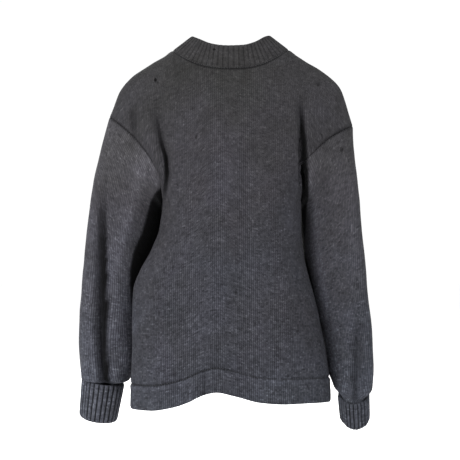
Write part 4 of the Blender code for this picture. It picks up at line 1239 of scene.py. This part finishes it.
def collar_sections(points, normal, reach, step, places):
    """Seam point, outward side, direction away and outward step at each place."""
    lengths = line_length(points)
    seam = read_line(points, lengths, places)
    first = unit(read_line(normal, lengths, places))
    away = unit(read_line(reach, lengths, places))
    shift = np.interp(places, lengths, step)
    wide = np.arange(-7, 8)
    weights = np.exp(-((wide / 4.0) ** 2))
    weights = weights / weights.sum()
    run = np.gradient(seam, places, axis=0)
    padded = np.pad(run, ((7, 7), (0, 0)), mode="edge")
    run = unit(np.stack([np.convolve(padded[:, axis], weights, "valid") for axis in range(3)], axis=-1))
    out = unit(np.cross(run, away))
    out = out * np.sign((out * first).sum(-1))[:, None]
    return seam, first, away, out, shift


def band_section(width):
    """Points round a band's section: place across, side of the wall, seam's own normal, rib part."""
    first = SEAM_GAP / 2
    rows = [(first, 0.45, 1.0, 0.0), (first + 0.0015, 0.95, 0.7, 0.4), (first + 0.004, 1.0, 0.2, 1.0)]
    for part in np.linspace(0.0055, width - 0.004, 9):
        rows.append((part, 1.0, 0.0, 1.0))
    rows += [(width - 0.0016, 0.95, 0.0, 0.9), (width - 0.0003, 0.55, 0.0, 0.6), (width, -0.1, 0.0, 0.2),
             (width - 0.0012, -0.85, 0.0, 0.0)]
    for part in np.linspace(width - 0.004, 0.0055, 4):
        rows.append((part, -1.0, 0.0, 0.0))
    rows.append((first, -1.0, 1.0, 0.0))
    return rows


def widening(seam, neck_end):
    """How much a front band widens towards the neckband."""
    lengths = line_length(seam)
    gone = lengths[-1] - lengths if neck_end > 0 else lengths
    return 1 + (NECKBAND_HEIGHT / BAND_WIDTH - 1) * smooth(1 - gone / BAND_WIDENING_LENGTH)


def band_piece(name, sections, start, end, width, neck_end, tree, identifiers):
    """Ribbed strip between two stations of the collar."""
    seam, first, away, out, shift = [values[start: end + 1].copy() for values in sections]
    if neck_end:
        away = away * widening(seam, neck_end)[:, None]
    seam[0] += SEAM_GAP / 2 * unit(seam[1] - seam[0])
    seam[-1] += SEAM_GAP / 2 * unit(seam[-2] - seam[-1])
    rows = band_section(width)
    rings, outs, parts, flats = [], [], [], []
    lengths = line_length(seam)
    around = 0.0
    for index, (place, face, keep, part) in enumerate(rows):
        level = face * WALL / 2 + shift * min(1.0, place / BAND_TURN)
        side = out * (1 - keep) + first * keep
        rings.append(seam + away * place + side * level[:, None])
        outs.append(side)
        parts.append(np.full(len(seam), part))
        if index:
            around += abs(place - rows[index - 1][0]) + 0.5 * WALL * abs(face - rows[index - 1][1])
        flats.append(np.stack([lengths, np.full(len(seam), around)], axis=-1))
    rings = np.stack(rings, axis=1)
    flats = np.stack(flats, axis=1)
    count, points = rings.shape[:2]
    places = (np.arange(count) / BAND_STEPS_PER_RIB)[:, None] + np.zeros((count, points))
    return loft(name, rings, np.stack(outs, axis=1), places, np.stack(parts, axis=1), flats, False,
                tree, identifiers, BAND_RIB_RISE, BAND_RIB_SHARPNESS)


def loft(name, rings, outs, places, parts, flats, closed_path, tree, identifiers, rise, sharp):
    """Closed skin over section loops, with its ribs raised by the rib tree."""
    count, points = rings.shape[:2]
    spans = count if closed_path else count - 1
    index, point = np.meshgrid(np.arange(spans), np.arange(points), indexing="ij")
    after = (index + 1) % count
    beside = (point + 1) % points
    faces = np.stack([index * points + point, index * points + beside,
                      after * points + beside, after * points + point], axis=-1).reshape(-1, 4)
    flat = flats.reshape(-1, 2)
    corners = flat[faces].copy()
    if closed_path:
        wide = flats[-1, :, 0] + (flats[-1, :, 0] - flats[-2, :, 0])
        wraps = (index.ravel() == count - 1)[:, None] & (faces // points == 0)
        corners[..., 0] = np.where(wraps, wide[faces % points], corners[..., 0])
    tops = flats[:, -1, 1] + 0.002
    turns = (point.ravel() == points - 1)[:, None] & (faces % points == 0)
    corners[..., 1] = np.where(turns, tops[faces // points], corners[..., 1])
    item = cloth_object(name, rings.reshape(-1, 3), faces.tolist(), corners.reshape(-1, 2),
                        {"rib_place": places, "rib_part": parts})
    mesh = item.data
    layer = mesh.attributes.new("rib_out", "FLOAT_VECTOR", "POINT")
    layer.data.foreach_set("vector", np.asarray(outs, np.float32).ravel())
    if not closed_path:
        work = bmesh.new()
        work.from_mesh(mesh)
        edges = [edge for edge in work.edges if edge.is_boundary]
        bmesh.ops.holes_fill(work, edges=edges, sides=0)
        work.to_mesh(mesh)
        work.free()
    work = bmesh.new()
    work.from_mesh(mesh)
    bmesh.ops.recalc_face_normals(work, faces=list(work.faces))
    work.to_mesh(mesh)
    work.free()
    mesh.polygons.foreach_set("use_smooth", np.full(len(mesh.polygons), True))
    return apply_tree(item, tree, identifiers, {"Rib rise": rise, "Furrow sharpness": sharp})


def cuff_piece(name, side, cuff, tree, identifiers):
    """Cuff turned back on itself: two layers joined by a round fold, ribs on the outer one."""
    long = np.linalg.norm(np.array(cuff["fold"]) - np.array(cuff["top"]))
    steps = CUFF_RIBS * CUFF_STEPS_PER_RIB
    turn = np.arange(steps) / steps * 2 * math.pi
    inner = -CUFF_SLOT - WALL
    outer = CUFF_SLOT + WALL - 0.0004
    rows = [(CUFF_SLOT + 0.0004, -0.0004, 0.0), (outer - 0.0008, -0.0010, 0.5), (outer, 0.0010, 0.9)]
    for down in np.linspace(0.0030, long - 0.0100, 12):
        rows.append((outer, down, 1.0))
    for angle in np.linspace(0.15, 1.0, 6)[:-1] * math.pi / 2:
        rows.append((outer * math.cos(angle), long - CUFF_FOLD_RADIUS * (1 - math.sin(angle)),
                     0.35 + 0.65 * math.cos(angle)))
    rows += [(0.0, long, 0.35), (inner * 0.6, long - 0.0014, 0.2), (inner, long - 0.0050, 0.0)]
    for down in np.linspace(long - 0.010, CUFF_SEAM + SEAM_GAP / 2, 5):
        rows.append((inner, down, 0.0))
    rows += [(-CUFF_SLOT, CUFF_SEAM + SEAM_GAP / 2, 0.0), (-CUFF_SLOT, long - 0.0070, 0.0),
             (CUFF_SLOT, long - 0.0070, 0.0), (CUFF_SLOT, 0.5 * long, 0.0)]
    rings, outs, parts, flats = [], [], [], []
    around = 0.0
    sway = 0.0008 * np.sin(turn * 5 + side) + 0.0006 * np.sin(turn * 9)
    for index, (reach, down, part) in enumerate(rows):
        ring = cuff_ring(side, cuff, down, reach + part * sway, turn)
        rings.append(ring)
        outs.append(unit(cuff_ring(side, cuff, down, reach + 0.001, turn)
                         - cuff_ring(side, cuff, down, reach, turn)))
        parts.append(np.full(steps, part))
        if index:
            around += math.hypot(down - rows[index - 1][1], reach - rows[index - 1][0])
        wide = line_length(np.concatenate([ring, ring[:1]]))[:-1]
        flats.append(np.stack([wide, np.full(steps, -around)], axis=-1))
    rings = np.stack(rings, axis=1)
    places = (np.arange(steps) / CUFF_STEPS_PER_RIB)[:, None] + np.zeros(rings.shape[:2])
    flats = np.stack(flats, axis=1)
    return loft(name, rings, np.stack(outs, axis=1), places, np.stack(parts, axis=1), flats, True,
                tree, identifiers, CUFF_RIB_RISE, CUFF_RIB_SHARPNESS)


def button_piece(name, centre):
    """Four-hole button: dished face, raised rim, drilled holes."""
    work = bmesh.new()
    profile = ((0.0, 0.0), (0.73, 0.0), (0.95, 0.0004), (1.0, 0.0012), (0.99, 0.0026), (0.93, 0.0033),
               (0.86, 0.0034), (0.78, 0.0029), (0.70, 0.0025), (0.0, 0.0024))
    rings = []
    for part, height in profile:
        if part == 0.0:
            rings.append([work.verts.new((0.0, -height, 0.0))])
            continue
        ring = []
        for index in range(BUTTON_SIDES):
            turn = index / BUTTON_SIDES * 2 * math.pi
            radius = part * BUTTON_RADIUS
            ring.append(work.verts.new((radius * math.cos(turn), -height, radius * math.sin(turn))))
        rings.append(ring)
    for low, high in zip(rings[:-1], rings[1:]):
        for index in range(BUTTON_SIDES):
            after = (index + 1) % BUTTON_SIDES
            if len(low) == 1:
                work.faces.new((low[0], high[after], high[index]))
            elif len(high) == 1:
                work.faces.new((low[index], low[after], high[0]))
            else:
                work.faces.new((low[index], low[after], high[after], high[index]))
    bmesh.ops.recalc_face_normals(work, faces=list(work.faces))
    mesh = bpy.data.meshes.new(name)
    work.to_mesh(mesh)
    work.free()
    blank = bpy.data.objects.new(name, mesh)
    bpy.context.scene.collection.objects.link(blank)
    work = bmesh.new()
    for x in (-HOLE_OFFSET, HOLE_OFFSET):
        for z in (-HOLE_OFFSET, HOLE_OFFSET):
            made = bmesh.ops.create_cone(work, cap_ends=True, segments=14, radius1=HOLE_RADIUS,
                                         radius2=HOLE_RADIUS, depth=0.02)
            bmesh.ops.rotate(work, verts=made["verts"], cent=(0, 0, 0),
                             matrix=Vector((0, 0, 1)).rotation_difference(Vector((0, 1, 0))).to_matrix())
            bmesh.ops.translate(work, verts=made["verts"], vec=(x, 0.0, z))
    drill_mesh = bpy.data.meshes.new("drill")
    work.to_mesh(drill_mesh)
    work.free()
    drill = bpy.data.objects.new("drill", drill_mesh)
    bpy.context.scene.collection.objects.link(drill)
    cut = blank.modifiers.new("holes", "BOOLEAN")
    cut.operation = "DIFFERENCE"
    cut.object = drill
    bpy.context.view_layer.update()
    shown = blank.evaluated_get(bpy.context.evaluated_depsgraph_get())
    mesh = bpy.data.meshes.new_from_object(shown)
    bpy.data.objects.remove(blank, do_unlink=True)
    bpy.data.objects.remove(drill, do_unlink=True)
    mesh.transform(Matrix.Translation(centre))
    mesh.name = name
    item = bpy.data.objects.new(name, mesh)
    bpy.context.scene.collection.objects.link(item)
    return item


SURFACES = {}


def on_surface(item, x, z):
    """Point and normal of a piece's back where a line along Y first meets it."""
    mesh = item.data
    tree = SURFACES.get(item.name)
    if tree is None:
        tree = BVHTree.FromPolygons([vertex.co for vertex in mesh.vertices],
                                    [polygon.vertices for polygon in mesh.polygons])
        SURFACES[item.name] = tree
    place, normal, _, _ = tree.ray_cast(Vector((x, 1.0, z)), Vector((0.0, -1.0, 0.0)))
    return place, normal


def surface_line(item, line, rise, steps=12):
    """Points along a line drawn on a piece, given as x and z pairs."""
    line = np.asarray(line)
    lengths = np.concatenate([[0.0], np.cumsum(np.linalg.norm(np.diff(line, axis=0), axis=1))])
    out = []
    for place in np.linspace(0.0, lengths[-1], steps):
        x = float(np.interp(place, lengths, line[:, 0]))
        z = float(np.interp(place, lengths, line[:, 1]))
        point, normal = on_surface(item, x, z)
        if point is not None:
            out.append(np.array(point + normal * rise))
    return np.array(out)


def edge_level(dark, closed, above, lower, across):
    """Adds painted shade as dark lines along the seams and over the hem line, and a painted highlight on the
    ridge below the hem line.
    """
    if closed:
        dark[0] = np.maximum(dark[0], 0.85)
        dark[1] = np.maximum(dark[1], 0.25)
        return dark
    dark[-1] = np.maximum(dark[-1], 0.95)
    dark[-2] = np.maximum(dark[-2], 0.70)
    for column, level in ((0, 0.90), (1, 0.30), (-1, 0.90), (-2, 0.30)):
        dark[lower:, column] = np.maximum(dark[lower:, column], level)
    line = np.exp(-(((above - HEM_DEPTH) / 0.0016) ** 2))
    ridge = np.exp(-(((above - HEM_DEPTH + 0.0055) / 0.0035) ** 2))
    strong = 0.22 + 0.34 * smooth((across + 0.04) / 0.08)
    dark = np.maximum(dark, strong * line)
    return np.where(dark > 0.1, dark, dark - 0.22 * ridge)


def plain_grids(lower):
    """Plain points of each panel and sleeve, if it closes on itself, which way it faces, and hem heights."""
    sizes = (lower, YOKE_ROWS, SHOULDER_COLUMNS, NECK_COLUMNS)
    back, back_above = body_panel(1, 0, *sizes)
    left, left_above = body_panel(-1, 1, *sizes)
    right, right_above = body_panel(-1, -1, *sizes)
    places = np.linspace(0.0, LEFT_SLEEVE[-1][0], SLEEVE_ROWS)
    places[1] = 0.03
    return {
        "back": (back, False, False, back_above),
        "front_left": (left, False, False, left_above),
        "front_right": (right, False, False, right_above),
        "sleeve_left": (sleeve_rings(1, places, YOKE_ROWS), True, True, None),
        "sleeve_right": (sleeve_rings(-1, places, YOKE_ROWS), True, False, None),
    }


def folded_grids(grids, rows):
    """The same grids with folds and slack, and the painted shade of their creases and seams, with a painted
    highlight where it is below zero.
    """
    normals = grid_normals(grids)
    folded = {}
    painted_shades = {}
    for name, (points, closed, flip, above) in grids.items():
        kind = "sleeve" if closed else "body"
        moved = points + fold_shift(kind, points, normals[name])
        shadow = shadow_level(kind, moved, normals[name])
        painted_shades[name] = edge_level(shadow, closed, above, rows, moved[..., 0])
        folded[name] = (uneven(moved, normals[name]), closed, flip, above)
    return folded, painted_shades


def knitted_pieces(grids, folded, normals, painted_shades):
    """Back, fronts and sleeves."""
    knit = wool("knitted wool", (0.95, 0.95, 0.95), PANEL_RELIEF)
    # The sleeves' wool is painted lighter than the back's, the left sleeve most: painted light, as from the
    # left.
    sleeves = {
        "sleeve_left": wool("knitted wool left sleeve painted lighter", (1.42, 1.42, 1.42), PANEL_RELIEF),
        "sleeve_right": wool("knitted wool right sleeve painted lighter", (1.16, 1.16, 1.15), PANEL_RELIEF),
    }
    middle = {"back": SHOULDER_COLUMNS + NECK_COLUMNS, "front_left": 0, "front_right": -1}
    made = {}
    for name, (points, closed, flip, above) in folded.items():
        plain = grids[name][0]
        if closed:
            flat, around = sleeve_places(plain)
        else:
            flat, around = panel_places(plain, middle[name]), None
        item = cloth_shell("knit_" + name, points, normals[name], closed, flip, above, flat, around,
                           painted_shades[name])
        item.data.materials.append(sleeves.get(name, knit))
        made[name] = item
    return made


def collar_pieces(folded, normals, rows):
    """Front bands and neckband: one run of ribs, cut at the shoulder seams."""
    raise_ribs, rib_inputs = rib_tree(wool("ribbed band wool", (0.92, 0.91, 0.92), RIB_RELIEF, 0.30))
    line, normal, reach, step, first, last = collar_line(folded, normals, rows)
    lengths = line_length(line)
    cuts = (0.0, lengths[first], lengths[last], lengths[-1])
    stations = []
    for start, end in zip(cuts[:-1], cuts[1:]):
        ribs = int(round((end - start) / RIB_PITCH))
        stations.append(np.linspace(start, end, ribs * BAND_STEPS_PER_RIB + 1))
    places = np.concatenate([stations[0], stations[1][1:], stations[2][1:]])
    sections = collar_sections(line, normal, reach, step, places)
    low = len(stations[0]) - 1
    high = low + len(stations[1]) - 1
    strips = (
        ("band_left", 0, low, BAND_WIDTH, 1),
        ("neckband", low, high, NECKBAND_HEIGHT, 0),
        ("band_right", high, len(places) - 1, BAND_WIDTH, -1),
    )
    made = {}
    for name, start, end, width, neck_end in strips:
        made[name] = band_piece("ribbed_" + name, sections, start, end, width, neck_end,
                                raise_ribs, rib_inputs)
    return made


def cuff_pieces():
    """Both turned-back cuffs; the left cuff's wool is painted lighter than the right's as painted light from
    the left, and each has its own strength of painted furrow shade.
    """
    kinds = (
        ("left", 1, LEFT_CUFF, (1.42, 1.42, 1.42), 0.92),
        ("right", -1, RIGHT_CUFF, (0.98, 0.98, 0.98), 0.78),
    )
    made = {}
    for name, side, cuff, tint, furrow_shade in kinds:
        raise_ribs, rib_inputs = rib_tree(wool("ribbed cuff wool " + name, tint, RIB_RELIEF, furrow_shade))
        made["cuff_" + name] = cuff_piece("ribbed_cuff_" + name, side, cuff, raise_ribs, rib_inputs)
    return made


def stitched_trim(folded, normals, lower, neckband):
    """Seam stitches, the hem's stitched line, and two small marks on the neckband."""
    stitches, inputs = stitch_tree(thread("dark seam thread", (0.012, 0.012, 0.014)))

    def on_wall(name, pick, sunk):
        return folded[name][0][pick] + normals[name][pick] * (WALL / 2 - sunk)

    neck = slice(SHOULDER_COLUMNS, SHOULDER_COLUMNS + 2 * NECK_COLUMNS + 1)
    yoke = slice(len(lower), None)
    lines = [on_wall("back", (-1, neck), 0.0004)]
    for name, column in (("back", 0), ("back", -1), ("front_left", -1), ("front_right", 0)):
        lines.append(on_wall(name, (yoke, column), 0.0010))
    seams = stitched_line("seam_stitches", lines, stitches, inputs, 0.0046, 0.0034, 0.0011)

    hem_row = int(np.argmin(np.abs(lower - HEM_DEPTH)))
    lines = [on_wall(name, hem_row, 0.0012) for name in ("back", "front_left", "front_right")]
    hem = stitched_line("hem_stitches", lines, stitches, inputs, 0.0052, 0.0034, 0.0009)

    lines = [surface_line(neckband, ((x, -0.0170), (x - 0.0005, -0.0290)), 0.0007, 6)
             for x in (0.0414, -0.0324)]
    label = stitched_line("label_stitches", lines, stitches, inputs, 0.0026, 0.0024, 0.0017)
    return seams, hem, label


def buttons():
    """Dark buttons down the lapped band, at the height of the frame's own."""
    material = horn("dark horn")
    made = {}
    for index, height in enumerate(BUTTON_HEIGHTS):
        name = "button_%d" % (index + 1)
        _, high_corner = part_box(name)
        item = button_piece("horn_" + name, Vector((0.0, high_corner[1], height)))
        item.data.materials.append(material)
        made[name] = item
    return made


def declare(made, seams, hem, label):
    """The node that each piece replaces: each piece and the stitches hang from the root, and the part that
    each piece replaces is hidden.
    """
    for name, item in made.items():
        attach(item, "root")
        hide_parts(name)
    for item in (seams, hem, label):
        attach(item, "root")


def cardigan():
    """The whole garment."""
    lower = np.concatenate([[0.0, 0.0006, 0.0016, 0.0032], np.linspace(0.006, 0.036, 8),
                            np.linspace(0.0385, 0.0490, 12), np.linspace(0.0525, BODY_DROP, BODY_ROWS - 24)])
    grids = plain_grids(lower)
    folded, painted_shades = folded_grids(grids, len(lower))
    normals = grid_normals(folded)
    made = knitted_pieces(grids, folded, normals, painted_shades)
    made.update(collar_pieces(folded, normals, len(lower)))
    made.update(cuff_pieces())
    seams, hem, label = stitched_trim(folded, normals, lower, made["neckband"])
    made.update(buttons())
    declare(made, seams, hem, label)


def studio():
    """Camera at the photograph's angle, white floor and backdrop, soft lights."""
    scene = bpy.context.scene
    scene.view_settings.view_transform = "Standard"
    data = bpy.data.cameras.new("camera")
    data.lens = 133.0
    data.sensor_width = 36.0
    camera = bpy.data.objects.new("camera", data)
    camera.location = (0.0018, 3.06, -0.3204)
    camera.rotation_euler = (math.pi / 2, 0.0, math.pi)
    scene.collection.objects.link(camera)
    scene.camera = camera

    mesh = bpy.data.meshes.new("floor")
    mesh.from_pydata([(-12.0, -12.0, -0.80), (12.0, -12.0, -0.80), (12.0, 12.0, -0.80), (-12.0, 12.0, -0.80)],
                     [], [(0, 1, 2, 3)])
    floor = bpy.data.objects.new("floor", mesh)
    scene.collection.objects.link(floor)
    paper = bpy.data.materials.new("white paper")
    paper.use_nodes = True
    shader = paper.node_tree.nodes["Principled BSDF"]
    shader.inputs["Base Color"].default_value = (0.98, 0.98, 0.98, 1.0)
    shader.inputs["Roughness"].default_value = 0.9
    mesh.materials.append(paper)

    def soft_light(name, place, target, size, watts):
        lamp = bpy.data.lights.new(name, "AREA")
        lamp.shape = "SQUARE"
        lamp.size = size
        lamp.energy = watts
        item = bpy.data.objects.new(name, lamp)
        item.location = place
        item.rotation_euler = (Vector(target) - Vector(place)).to_track_quat("-Z", "Y").to_euler()
        scene.collection.objects.link(item)

    soft_light("key", (2.6, 2.4, 0.9), (0.0, 0.0, -0.3), 1.4, 130.0)
    soft_light("fill", (-1.9, 2.7, 0.3), (0.0, 0.0, -0.3), 1.6, 50.0)
    soft_light("overhead", (0.0, 0.4, 2.2), (0.0, 0.0, -0.3), 2.0, 14.0)
    soft_light("front", (0.6, -2.6, 0.8), (0.0, 0.0, -0.3), 1.8, 60.0)
    world = bpy.data.worlds.new("soft room")
    world.use_nodes = True
    world.node_tree.nodes["Background"].inputs["Color"].default_value = (1.0, 1.0, 1.0, 1.0)
    world.node_tree.nodes["Background"].inputs["Strength"].default_value = 1.03
    scene.world = world


cardigan()
studio()
